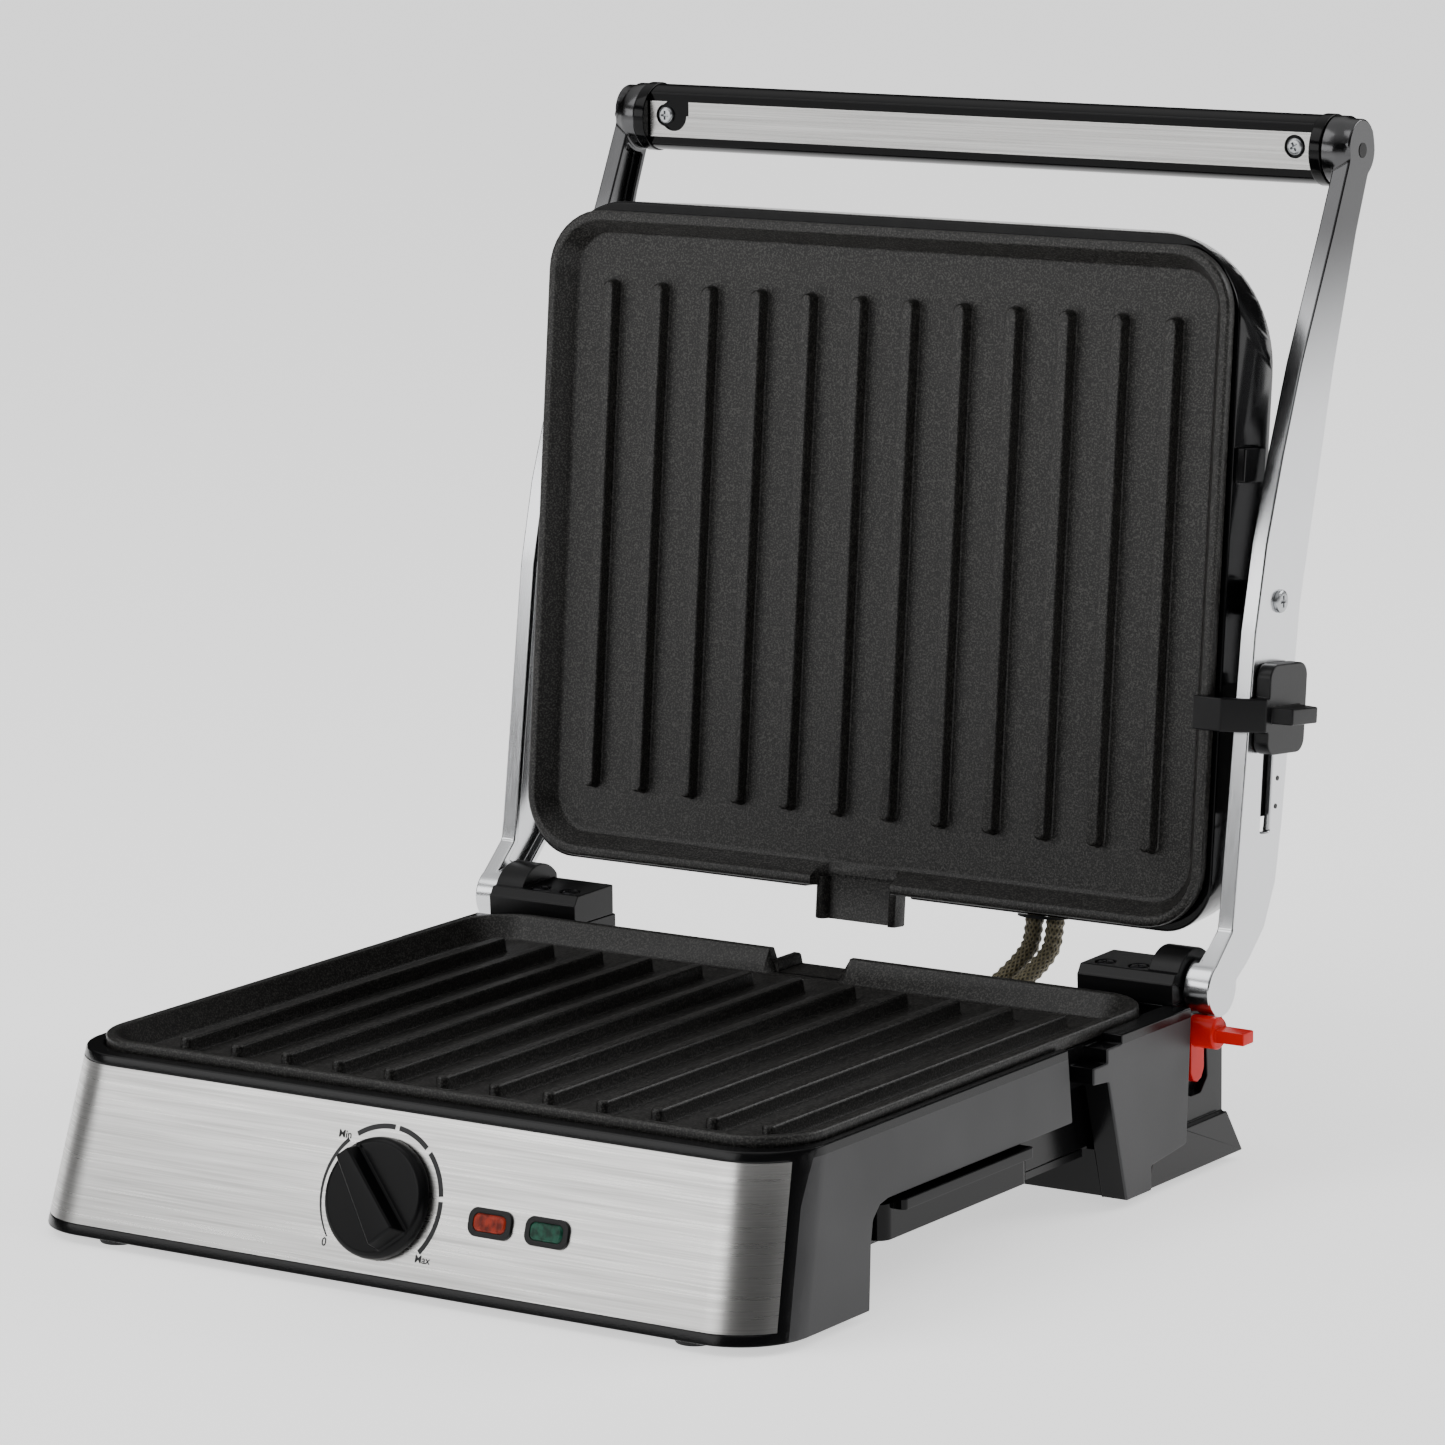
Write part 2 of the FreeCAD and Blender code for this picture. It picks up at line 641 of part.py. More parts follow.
def control_knob():
    """A low round skirt with a wedge grip across it, narrow at its pointer, turned to its mark."""
    skirt = loft(plan_circle(KNOB_RADIUS, 1.0), plan_circle(KNOB_RADIUS - 0.5, 4.0))
    skirt = joined(skirt, loft(plan_circle(KNOB_RADIUS - 0.5, 4.0), plan_circle(KNOB_RADIUS - 1.8, 5.0)))
    grip = loft(grip_ring(6.0, 3.4, 18.2, 4.5), grip_ring(5.2, 2.6, 16.6, 11.0))
    knob = joined(skirt, grip)
    knob = knob.cut(Part.makeCylinder(SHAFT_RADIUS, 8.5, Vector(0, 0, -1)))
    knob.rotate(Vector(0, 0, 0), Vector(0, 0, 1), KNOB_TURN)
    knob.translate(Vector(KNOB_X, 0, 0))
    return on_panel(knob)


def plan_circle(radius, z):
    """A circle about the z axis, as a wire."""
    return Part.Wire(Part.makeCircle(radius, Vector(0, 0, z)))


def grip_ring(half_heel, half_tip, reach, z):
    """The grip's outline, from its wide heel at -y to its narrow pointer at +y."""
    corners = [Vector(half_heel, -reach + 1.5, z), Vector(half_tip, reach, z), Vector(-half_tip, reach, z),
               Vector(-half_heel, -reach + 1.5, z)]
    return Part.makePolygon(corners + corners[:1])


def knob_shaft():
    return on_panel(Part.makeCylinder(SHAFT_RADIUS, 21, Vector(KNOB_X, 0, -14)))


def release_lever():
    """A round hub under the hinge boss, with a tongue below it, a finger tab outside and its stem."""
    hub = rod(LEVER_RADIUS, 145.2, 155.5, LEVER_Y, LEVER_Z)
    hub = hub.makeFillet(0.8, [edge for edge in hub.Edges if abs(edge.BoundBox.XMin - 155.5) < 0.01])
    tongue = side_prism([(121.8, 50), (121.8, 37.4), (123.6, 34.4), (126.4, 33.3), (129.2, 34.4),
                         (131.0, 37.4), (131.0, 50)], 142, 147)
    tab = plan_prism([(154, 123.0), (166.5, 123.0), (166.5, 130.2), (154, 130.8)], 48.6, 53.0)
    stem = rod(LEVER_STEM, 127.5, 146, LEVER_Y, LEVER_Z)
    return joined(hub, tongue, tab, stem)


def drip_tray():
    """An open pan that slides out to the right, with a lip to pull it by."""
    pan = rounded_block(TRAY_LEFT, TRAY_RIGHT, TRAY_FRONT, TRAY_BACK, 5, TRAY_BOTTOM, TRAY_TOP)
    hollow = rounded_block(TRAY_LEFT + TRAY_WALL, TRAY_RIGHT - TRAY_WALL, TRAY_FRONT + TRAY_WALL,
                           TRAY_BACK - TRAY_WALL, 3.5, TRAY_BOTTOM + TRAY_WALL, TRAY_TOP + 1)
    lip = rounded_block(TRAY_RIGHT - 2, 147.3, -60, 19.5, 1.9, 30.6, 34.2)
    return joined(pan.cut(hollow), lip.cut(box(0, TRAY_RIGHT - TRAY_WALL, -100, 100, 20, 40)))


def tray_rails():
    """Two guides on the bottom cover that the tray runs between."""
    rails = [box(-72, 128, TRAY_FRONT - 3.6, TRAY_FRONT - 0.4, TUB_BOTTOM, 30),
             box(-72, 128, TRAY_BACK + 0.4, TRAY_BACK + 3.6, TUB_BOTTOM, 30)]
    return Part.makeCompound(rails)


# ---------- lid ----------

def lid_ring(inset, radius, z):
    """The lid's outline, set in all round, as a wire in the lid's frame."""
    return plan_wire(-LID_HALF_WIDTH + inset, LID_HALF_WIDTH - inset, LID_END_LOW + inset,
                     LID_END_HIGH - inset, radius * 0.6, radius, z)


def lid_housing():
    """The lid's moulded casing: a lip round the plate, deep sides and a shallow crowned back."""
    sides = loft(lid_ring(0, 30, LID_FRONT), lid_ring(0, 46, LID_SIDE_BACK))
    back = loft(lid_ring(0, 46, LID_SIDE_BACK), lid_ring(3.5, 44, -33.5), lid_ring(9, 40, LID_BACK))
    seat = rounded_block(-136.2, 136.2, -21.7, 203.7, 19, -14.2, 0)
    hollow = rounded_block(-132.5, 132.5, -18.5, 200.5, 34, -33, -13)
    shell = without(joined(sides, back), seat, hollow)
    lug = rod(7.5, 130.5, LID_HALF_WIDTH, 0, 0)
    lug.translate(Vector(0, *pivot_in_lid()))
    stop = box(LID_HALF_WIDTH - 1, 144.2, 128, 140, -20, -5)
    extras = []
    for piece in (lug, stop):
        extras += [piece, mirrored(piece)]
    bore = rod(2.0, 120, 150, *pivot_in_lid())
    gland = Part.makeCylinder(10, 12, Vector(68, -30, -18), Vector(0, 1, 0))
    half = SPOUT_WIDTH / 2 + 5
    notch = box(-half, half, LID_END_LOW - 5, -21, PLATE_FLOOR - PLATE_THICK - 0.6, 0)
    shell = without(joined(shell, *extras), bore, mirrored(bore), gland, notch)
    return in_lid(shell)


def lid_point(x, along, out):
    """A point given in the lid's frame, at its open place."""
    return FreeCAD.Rotation(X_AXIS, LID_LEAN).multVec(Vector(x, along, out)) + LID_FOOT


def pivot_in_lid():
    """The lid pivot's place in the lid's frame."""
    turn = math.radians(LID_LEAN)
    along = PIVOT_Y - LID_FOOT.y
    up = PIVOT_Z - LID_FOOT.z
    return (along * math.cos(turn) + up * math.sin(turn), up * math.cos(turn) - along * math.sin(turn))


def lid_cover():
    """The brushed steel cover on the lid's back, with bevelled edges."""
    return in_lid(loft(lid_ring(9.8, 39, LID_BACK), lid_ring(10.8, 38, LID_BACK - 1.4),
                       lid_ring(13.5, 36, LID_BACK - 2.2)))


def lid_cover_screws():
    """Four screws near the corners of the lid's cover, heads outwards."""
    screws = []
    for x in (-112, 112):
        for y in (6, 178):
            one = screw(3.4, 1.6, 1.4, 1.9)
            one.rotate(Vector(0, 0, 0), X_AXIS, 180)
            one.translate(Vector(x, y, LID_BACK - 2.2))
            screws.append(one)
    return screws


def cover_with_holes():
    """The lid's cover with a hole under each of its screws."""
    cover = lid_cover()
    for one in lid_cover_screws():
        cover = cover.cut(in_lid(one))
    return cover


def thermal_cutout():
    """The safety cut-out clamped above the upper reflector."""
    can = Part.makeCylinder(8, 5, Vector(0, 91, -30.2))
    strap = box(-14, 14, 88, 94, -25.2, -25.0)
    return in_lid(joined(can, strap))


def lid_gland():
    """The oval bush where the wiring leaves the lid."""
    ring = Part.makeCylinder(10, 5, Vector(68, -28.5, -18), Vector(0, 1, 0))
    holes = [Part.makeCylinder(3.9, 12, Vector(68 + side, -30, -18), Vector(0, 1, 0)) for side in (-4.2, 4.2)]
    return in_lid(without(ring, *holes))


def pivot_bush():
    """The spacer between the lid's side and the arm, round the right pivot screw."""
    bush = rod(6.0, LID_HALF_WIDTH, 147.5, PIVOT_Y, PIVOT_Z)
    return bush.cut(rod(2.0, 130, 160, PIVOT_Y, PIVOT_Z))


def pivot_screw():
    """The screw that the lid swings on, through the right arm into the lid's lug."""
    one = screw(4.0, 1.6, 2.0, 20)
    one.rotate(Vector(0, 0, 0), Vector(0, 1, 0), 90)
    one.translate(Vector(ARM_OUTER + 0.1, PIVOT_Y, PIVOT_Z))
    return one


# ---------- arms and handle ----------

def arm_outline():
    """The arm's side outline as (y, z) points, from the hinge boss up the front and down the back."""
    return [(129.2, 72.4), (141.3, 83.2), (142.6, 90.0), (156.4, 183.0), (163.8, 212.0), (174.6, 241.0),
            (187.4, 271.2), (209.0, 313.0), (221.4, 338.6), (237.4, 338.6), (225.9, 311.8),
            (210.8, 268.5), (199.0, 229.0), (187.6, 189.0), (175.4, 115.0), (171.0, 95.0),
            (163.4, 80.5), (152.0, 70.5), (140.0, 63.0), (134.5, 62.0)]


def arm_wire(x, inset):
    """The arm's outline at x, set in by inset, with its corners left sharp."""
    corners = [Vector(x, y, z) for y, z in arm_outline()]
    wire = Part.makePolygon(corners + corners[:1])
    return wire.makeOffset2D(-inset, 2) if inset else wire


def right_arm():
    """A die-cast channel, open to the inside, with a hinge boss below and a thick head above."""
    bar = Part.Face(arm_wire(ARM_INNER, 0)).extrude(Vector(ARM_OUTER - ARM_INNER, 0, 0))
    boss = rod(BOSS_RADIUS, BOSS_INNER, ARM_OUTER, HINGE_Y, HINGE_Z)
    head = rod(9.2, ARM_INNER, ARM_OUTER, 229.4, 341.2)
    cap = rod(12, 141.9, 146.5, BAR_Y, BAR_Z)
    cone = Part.makeCone(12, 9.2, ARM_OUTER - 146.5, Vector(146.5, BAR_Y, BAR_Z), X_AXIS)
    channel = Part.Face(arm_wire(ARM_INNER - 1, ARM_FLANGE))
    channel = channel.extrude(Vector(ARM_OUTER - ARM_WEB - ARM_INNER + 1, 0, 0))
    channel = channel.cut(rod(BOSS_RADIUS + 3, 140, 155, HINGE_Y, HINGE_Z))
    channel = channel.cut(rod(13.5, 140, 155, BAR_Y, BAR_Z))
    pad = rod(7, 147.6, ARM_OUTER - 1, PIVOT_Y, PIVOT_Z)
    arm = joined(bar.cut(channel), boss, head, cap, cone, pad)
    pin_hole = rod(PIN_RADIUS, 130, 149, HINGE_Y, HINGE_Z)
    pivot_hole = rod(2.0 + RUN_GAP, 130, 160, PIVOT_Y, PIVOT_Z)
    bolt_hole = rod(2.5, 130, 150.5, BAR_Y, BAR_Z)
    return without(arm, pin_hole, pivot_hole, bolt_hole)


def catch_slot():
    """The long slot in the right arm that the catch slides in."""
    half = SLOT_WIDTH / 2
    slot = rounded_block(145, 155, SLOT_LOW, SLOT_HIGH, 0.1, SLOT_Y - half, SLOT_Y + half)
    return in_lid(slot)


def arm_with_slot():
    return right_arm().cut(catch_slot())


def hinge_pin():
    """The steel pin, fixed in the arm's boss and turning in the hinge block."""
    return rod(PIN_RADIUS, 116, 149, HINGE_Y, HINGE_Z)


def handle_bar():
    """A round bar with a flat towards the front for its strip."""
    bar = rod(BAR_RADIUS, -BAR_HALF, BAR_HALF, BAR_Y, BAR_Z)
    bar = bar.cut(box(-200, 200, 200, FLAT_Y, 300, 380))
    bolt = rod(2.5, 120, 140, BAR_Y, BAR_Z)
    holes = [strip_screw_hole(side) for side in (-1, 1)]
    return without(bar, bolt, mirrored(bolt), *holes)


def strip_screw_hole(side):
    """The hole for one strip screw."""
    return Part.makeCylinder(1.4, 8, Vector(side * STRIP_SCREW_X, 220, BAR_Z + 1.4), Vector(0, 1, 0))


def handle_strip():
    """The brushed strip on the bar's flat, with a round notch beside its left screw."""
    low = BAR_Z - STRIP_HEIGHT / 2
    high = BAR_Z + STRIP_HEIGHT / 2
    strip = box(-BAR_HALF + 0.5, BAR_HALF - 0.5, FLAT_Y - 1.0, FLAT_Y, low, high)
    notch_x = -STRIP_SCREW_X + 3.4
    notch = Part.makeCylinder(5.6, 10, Vector(notch_x, 215, BAR_Z + 1.4), Vector(0, 1, 0))
    rise = box(notch_x - 2, notch_x + 6.6, 215, 225, BAR_Z + 1.4, high + 1)
    seat = Part.makeCylinder(4.0, 10, Vector(STRIP_SCREW_X, 215, BAR_Z + 1.4), Vector(0, 1, 0))
    return without(strip, notch, rise, seat, mirrored(seat))


def handle_screws():
    """Two cross-head screws through the strip's openings into the bar."""
    screws = []
    for side in (-1, 1):
        one = screw(3.5, 1.8, 1.4, 4.0)
        one.rotate(Vector(0, 0, 0), X_AXIS, 90)
        one.translate(Vector(side * STRIP_SCREW_X, FLAT_Y, BAR_Z + 1.4))
        screws.append(one)
    return Part.makeCompound(screws)


def handle_end_ring():
    """The collar between the bar and the right arm's head."""
    ring = rod(BAR_RADIUS + 0.5, BAR_HALF, 141.9, BAR_Y, BAR_Z)
    return ring.cut(rod(2.5, 130, 150, BAR_Y, BAR_Z))


def handle_bolt():
    """The bolt that joins the right arm's head to the bar."""
    return rod(2.5, 121, 150.4, BAR_Y, BAR_Z)


# ---------- height catch ----------

def height_catch():
    """The slide on the right arm: plate, thumb fin, and a bar hooked over the lid plate's edge."""
    plate = rounded_block(CATCH_LOW, CATCH_HIGH, CATCH_BACK, CATCH_FRONT, 5, 0, CATCH_OUTER - CATCH_INNER)
    plate.rotate(Vector(0, 0, 0), Vector(1, 1, 1), 120)
    plate.translate(Vector(CATCH_INNER, 0, 0))
    half = CATCH_BAR / 2
    hook = lid_prism([(CATCH_OUTER, -9), (CATCH_OUTER, -4), (146, 6.0), (139.5, 6.0), (134.4, 4.9),
                      (134.4, 3.5), (143.6, 3.5), (152.4, -0.9), (152.4, -9)],
                     CATCH_MIDDLE - half, CATCH_MIDDLE + half)
    fin = lid_prism([(CATCH_OUTER - 0.5, -7.5), (165.8, -8.5), (166.3, -25), (CATCH_OUTER - 0.5, -28)],
                    CATCH_MIDDLE - 2.8, CATCH_MIDDLE + 2.8)
    half_foot = SLOT_WIDTH / 2 - 0.3
    foot = box(149.1, CATCH_INNER + 0.5, CATCH_MIDDLE - 8, CATCH_MIDDLE + 8, SLOT_Y - half_foot,
               SLOT_Y + half_foot)
    catch = joined(plate, hook, fin, foot)
    return in_lid(catch.cut(rod(1.5, 140, 155, CATCH_MIDDLE, SLOT_Y)))


def lid_prism(points, low, high):
    """An outline of (x, z) points in the lid's frame, reaching from low to high along the lid."""
    corners = [Vector(x, low, z) for x, z in points]
    face = Part.Face(Part.makePolygon(corners + corners[:1]))
    return face.extrude(Vector(0, high - low, 0))


def catch_shoe():
    """The strip inside the arm's channel that keeps the catch in its slot and covers the slot below it."""
    shoe = box(147.4, 149.1, SHOE_LOW, CATCH_MIDDLE + 8, SLOT_Y - 6.5, SLOT_Y + 5.5)
    return in_lid(shoe.cut(rod(1.5, 140, 155, CATCH_MIDDLE, SLOT_Y)))


def catch_screw():
    one = screw(3.0, 1.3, 1.5, 6.5)
    one.rotate(Vector(0, 0, 0), Vector(0, 1, 0), -90)
    one.translate(Vector(147.4, CATCH_MIDDLE, SLOT_Y))
    return in_lid(one)


# ---------- wiring between lid and base ----------

def wiring_sleeves():
    """Two braided sleeves, side by side, from the lid's gland down and forward into the base."""
    sleeves = []
    for side in (-4.2, 4.2):
        points = [lid_point(68 + side, -24, -18), lid_point(67 + side, -42, -18),
                  Vector(55 + side, 146, 48), Vector(46 + side, 118, 41)]
        sleeves.append(tube(bent_path(points), 3.4))
    return Part.makeCompound(sleeves)


PARTS = {
    "lower_housing": lower_housing,
    "front_panel": front_panel,
    "bottom_cover": bottom_cover,
    "bottom_screws": bottom_screws,
    "rubber_feet": rubber_feet,
    "hinge_block_right": right_hinge_block,
    "hinge_block_left": lambda: mirrored(right_hinge_block()),
    "hinge_block_screws": hinge_block_screws,
    "thermostat": thermostat,
    "indicator_bezels": indicator_bezels,
    "red_lens": lambda: indicator_lens("red"),
    "green_lens": lambda: indicator_lens("green"),
    "indicator_lamps": indicator_lamps,
    "lower_element": lower_element,
    "lower_reflector": lower_reflector,
    "terminal_block": terminal_block,
    "cord_gland": cord_gland,
    "grease_chute": grease_chute,
    "tray_rails": tray_rails,
    "lever_spring": lever_spring,
    "lower_grill_plate": lower_grill_plate,
    "control_knob": control_knob,
    "knob_shaft": knob_shaft,
    "release_lever": release_lever,
    "drip_tray": drip_tray,
    "arm_right": arm_with_slot,
    "arm_left": lambda: mirrored(right_arm()),
    "hinge_pins": lambda: pair(hinge_pin()),
    "handle_bar": handle_bar,
    "handle_strip": handle_strip,
    "handle_screws": handle_screws,
    "handle_end_rings": lambda: pair(handle_end_ring()),
    "handle_bolts": lambda: pair(handle_bolt()),
    "lid_housing": lid_housing,
    "lid_cover": cover_with_holes,
    "lid_cover_screws": lambda: in_lid(Part.makeCompound(lid_cover_screws())),
    "upper_element": upper_element,
    "upper_reflector": upper_reflector,
    "upper_grill_plate": upper_grill_plate,
    "thermal_cutout": thermal_cutout,
    "lid_gland": lid_gland,
    "pivot_bushes": lambda: pair(pivot_bush()),
    "pivot_screws": lambda: pair(pivot_screw()),
    "height_catch": height_catch,
    "catch_shoe": catch_shoe,
    "catch_screw": catch_screw,
    "wiring_sleeves": wiring_sleeves,
}


def main():
    """Builds every piece, moves it to the part's own origin and writes it."""
    os.makedirs("parts", exist_ok=True)
    for name, build in PARTS.items():
        shape = build()
        shape.translate(ORIGIN * -1)
        shape.exportStep("parts/" + name + ".step")
        size = shape.BoundBox
        print(f"{name}: {len(shape.Solids)} solids, volume {shape.Volume:.0f}, valid {shape.isValid()}, "
              f"x {size.XMin:.1f}..{size.XMax:.1f} y {size.YMin:.1f}..{size.YMax:.1f} "
              f"z {size.ZMin:.1f}..{size.ZMax:.1f}")


main()
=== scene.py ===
"""A contact grill standing open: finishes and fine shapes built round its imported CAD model."""

import json
import logging
import math
from dataclasses import dataclass
from enum import Enum
from typing import Optional, Sequence

import bmesh
import bpy
from mathutils import Matrix, Vector

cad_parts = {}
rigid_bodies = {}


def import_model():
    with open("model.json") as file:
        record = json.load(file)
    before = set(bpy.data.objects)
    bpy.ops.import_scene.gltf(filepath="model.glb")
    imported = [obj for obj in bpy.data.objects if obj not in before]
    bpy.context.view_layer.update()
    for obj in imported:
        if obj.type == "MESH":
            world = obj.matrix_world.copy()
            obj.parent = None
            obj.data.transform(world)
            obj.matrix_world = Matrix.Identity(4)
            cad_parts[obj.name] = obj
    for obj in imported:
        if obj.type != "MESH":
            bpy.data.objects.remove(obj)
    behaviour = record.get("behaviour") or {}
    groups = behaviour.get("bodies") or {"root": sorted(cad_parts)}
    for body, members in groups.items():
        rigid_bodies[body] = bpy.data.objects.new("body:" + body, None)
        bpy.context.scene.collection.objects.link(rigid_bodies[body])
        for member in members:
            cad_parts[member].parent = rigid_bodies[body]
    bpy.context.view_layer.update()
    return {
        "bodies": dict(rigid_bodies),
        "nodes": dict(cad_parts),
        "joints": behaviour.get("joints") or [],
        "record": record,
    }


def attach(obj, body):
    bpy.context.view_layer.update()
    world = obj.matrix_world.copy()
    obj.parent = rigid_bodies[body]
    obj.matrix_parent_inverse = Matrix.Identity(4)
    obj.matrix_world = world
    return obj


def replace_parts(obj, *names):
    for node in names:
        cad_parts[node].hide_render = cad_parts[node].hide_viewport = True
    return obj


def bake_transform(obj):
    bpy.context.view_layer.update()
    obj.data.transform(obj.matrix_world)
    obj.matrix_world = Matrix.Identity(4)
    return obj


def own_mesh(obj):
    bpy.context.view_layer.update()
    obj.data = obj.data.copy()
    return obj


LOG = logging.getLogger("contact_grill")

MM = 0.001
# The drawing is in millimetres, with x = 0 on the symmetry plane and y = 0 in the middle of the lower plate.
DRAWING_SHIFT = Vector((6.4, 47.6, 0.0))
TO_ROW = Matrix.Scale(MM, 4) @ Matrix.Translation(-DRAWING_SHIFT)
LID_DEGREES = 84.4
LID_IN_DRAWING = Matrix.Translation((0, 144.1, 105.9)) @ Matrix.Rotation(math.radians(LID_DEGREES), 4, "X")
LID = TO_ROW @ LID_IN_DRAWING
PANEL_TILT = math.atan2(57.3, 18.0)
PANEL = TO_ROW @ Matrix.Translation((0, -132.02, 30.0)) @ Matrix.Rotation(PANEL_TILT, 4, "X")
RIB_TOPS = 60.5
LOWER_PLATE = TO_ROW @ Matrix.Translation((0, 0, RIB_TOPS)) @ Matrix.Rotation(math.pi, 4, "Z")
UPPER_PLATE = LID @ Matrix.Translation((0, 91, 0))
# from a template that faces +z to one that faces +x
FACING_RIGHT = Matrix.Rotation(math.pi / 2, 4, "Y")


class Body(Enum):
    """The rigid bodies that pieces ride on."""

    BASE = "base"
    ARMS = "arms"
    LID = "lid"
    CATCH = "catch"
    LEVER = "lever"
    KNOB = "knob"
    TRAY = "tray"


# ---------------------------------------------------------------------------- finishes


def linear(code: str, alpha: float = 1.0) -> tuple[float, float, float, float]:
    """Turns an sRGB hex colour into linear light.

    Args:
        code: Six hex digits, with or without a leading hash.
        alpha: Opacity from 0 to 1.

    Returns:
        Red, green, blue and alpha, linear.
    """
    digits = code.lstrip("#")
    channels = [int(digits[i : i + 2], 16) / 255 for i in (0, 2, 4)]
    light = [c / 12.92 if c <= 0.04045 else ((c + 0.055) / 1.055) ** 2.4 for c in channels]
    return (light[0], light[1], light[2], alpha)


def add(tree: bpy.types.NodeTree, kind: str, links: Optional[dict] = None,
        into: Optional[bpy.types.NodeSocket] = None, stops: Sequence[tuple[float, tuple]] = (),
        **settings: object) -> bpy.types.Node:
    """Adds a node, sets it up and links it.

    Args:
        tree: The tree that gets the node.
        kind: The node's type name.
        links: Input name or number to a value, or to another node's output socket.
        into: The input that the node's first output feeds.
        stops: Position and linear colour of each stop of a colour ramp, from low to high.
        settings: Attributes of the node itself.

    Returns:
        The new node.
    """
    node = tree.nodes.new(kind)
    for name, value in settings.items():
        setattr(node, name, value)
    for key, value in (links or {}).items():
        if isinstance(value, bpy.types.NodeSocket):
            tree.links.new(value, node.inputs[key])
        else:
            node.inputs[key].default_value = value
    if into is not None:
        tree.links.new(node.outputs[0], into)
    if stops:
        elements = node.color_ramp.elements
        while len(elements) > 1:
            elements.remove(elements[-1])
        for number, (place, colour) in enumerate(stops):
            element = elements[0] if number == 0 else elements.new(place)
            element.position = place
            element.color = colour
    return node


def shades(code: str, dark: float, light: float) -> tuple[tuple, tuple]:
    """Finds a darker and a lighter shade of a colour.

    Args:
        code: The colour's six hex digits.
        dark: The darker shade's share of its light.
        light: The lighter shade's share, held at white.

    Returns:
        The two shades, linear.
    """
    tint = linear(code)[:3]
    return tuple(dark * c for c in tint) + (1.0,), tuple(min(1.0, light * c) for c in tint) + (1.0,)


@dataclass(frozen=True)
class Finish:
    """A finish with a plain body colour. Others add their own pattern to it."""

    name: str
    colour: str
    roughness: float = 0.4
    metallic: float = 0.0

    def material(self) -> bpy.types.Material:
        """Makes the finish's material, or finds the one already made.

        Returns:
            The material.
        """
        known = bpy.data.materials.get(self.name)
        if known is not None:
            return known
        material = bpy.data.materials.new(self.name)
        material.use_nodes = True
        tree = material.node_tree
        shader = tree.nodes["Principled BSDF"]
        shader.inputs["Base Color"].default_value = linear(self.colour)
        shader.inputs["Roughness"].default_value = self.roughness
        shader.inputs["Metallic"].default_value = self.metallic
        self.pattern(tree, shader)
        material.diffuse_color = linear(self.colour)
        return material

    def pattern(self, tree: bpy.types.NodeTree, shader: bpy.types.Node) -> None:
        """Adds the finish's own detail to its shader.

        Args:
            tree: The material's tree.
            shader: Its Principled shader.
        """

    def gloss(self, tree: bpy.types.NodeTree, shader: bpy.types.Node, source: bpy.types.NodeSocket,
              low: float, high: float) -> None:
        """Varies the roughness with a pattern.

        Args:
            tree: The material's tree.
            shader: The shader whose roughness it is.
            source: The pattern, from 0 to 1.
            low: Roughness where the pattern is 0.
            high: Roughness where the pattern is 1.
        """
        add(tree, "ShaderNodeMapRange", {0: source, 3: low, 4: high}, shader.inputs["Roughness"])

    def noise(self, tree: bpy.types.NodeTree, size_mm: float, detail: float = 3.0,
              stretch: Sequence[float] = (1, 1, 1)) -> bpy.types.NodeSocket:
        """Adds noise on the object's own coordinates.

        Args:
            tree: The material's tree.
            size_mm: Size of the noise's grains in millimetres.
            detail: Octaves of finer noise.
            stretch: How much longer the grains are along each axis.

        Returns:
            The noise value.
        """
        place = add(tree, "ShaderNodeTexCoord").outputs["Object"]
        scale = tuple(1 / (size_mm * MM * s) for s in stretch)
        mapped = add(tree, "ShaderNodeMapping", {"Vector": place, "Scale": scale}).outputs[0]
        return add(tree, "ShaderNodeTexNoise", {"Vector": mapped, "Scale": 1.0, "Detail": detail}).outputs[0]

    def relief(self, tree: bpy.types.NodeTree, shader: bpy.types.Node, height: bpy.types.NodeSocket,
               depth_mm: float, strength: float = 1.0) -> None:
        """Feeds a height into the shader's normal.

        Args:
            tree: The material's tree.
            shader: The shader that gets the normal.
            height: Height from 0 to 1.
            depth_mm: What a height of 1 is in millimetres.
            strength: Share of the effect that is used.
        """
        links = {"Height": height, "Distance": depth_mm * MM, "Strength": strength}
        add(tree, "ShaderNodeBump", links, shader.inputs["Normal"])


@dataclass(frozen=True)
class Moulded(Finish):
    """Injection-moulded plastic: a spark-eroded tool leaves a fine grain that breaks up its gloss."""

    # real grain is about 0.1 mm, too fine to show, so it is drawn coarser
    grain_mm: float = 0.7
    depth_mm: float = 0.02
    specular: float = 0.4

    def pattern(self, tree: bpy.types.NodeTree, shader: bpy.types.Node) -> None:
        """Adds tool grain and faint flow marks.

        Args:
            tree: The material's tree.
            shader: Its Principled shader.
        """
        grain = self.noise(tree, self.grain_mm)
        flow = self.noise(tree, 45.0, 2.0)
        darker, lighter = shades(self.colour, 0.86, 1.14)
        stops = [(0.35, darker), (0.65, lighter)]
        add(tree, "ShaderNodeValToRGB", {0: flow}, shader.inputs["Base Color"], stops)
        self.gloss(tree, shader, grain, max(0.02, self.roughness - 0.05), self.roughness + 0.05)
        self.relief(tree, shader, grain, self.depth_mm)
        shader.inputs["Specular IOR Level"].default_value = self.specular


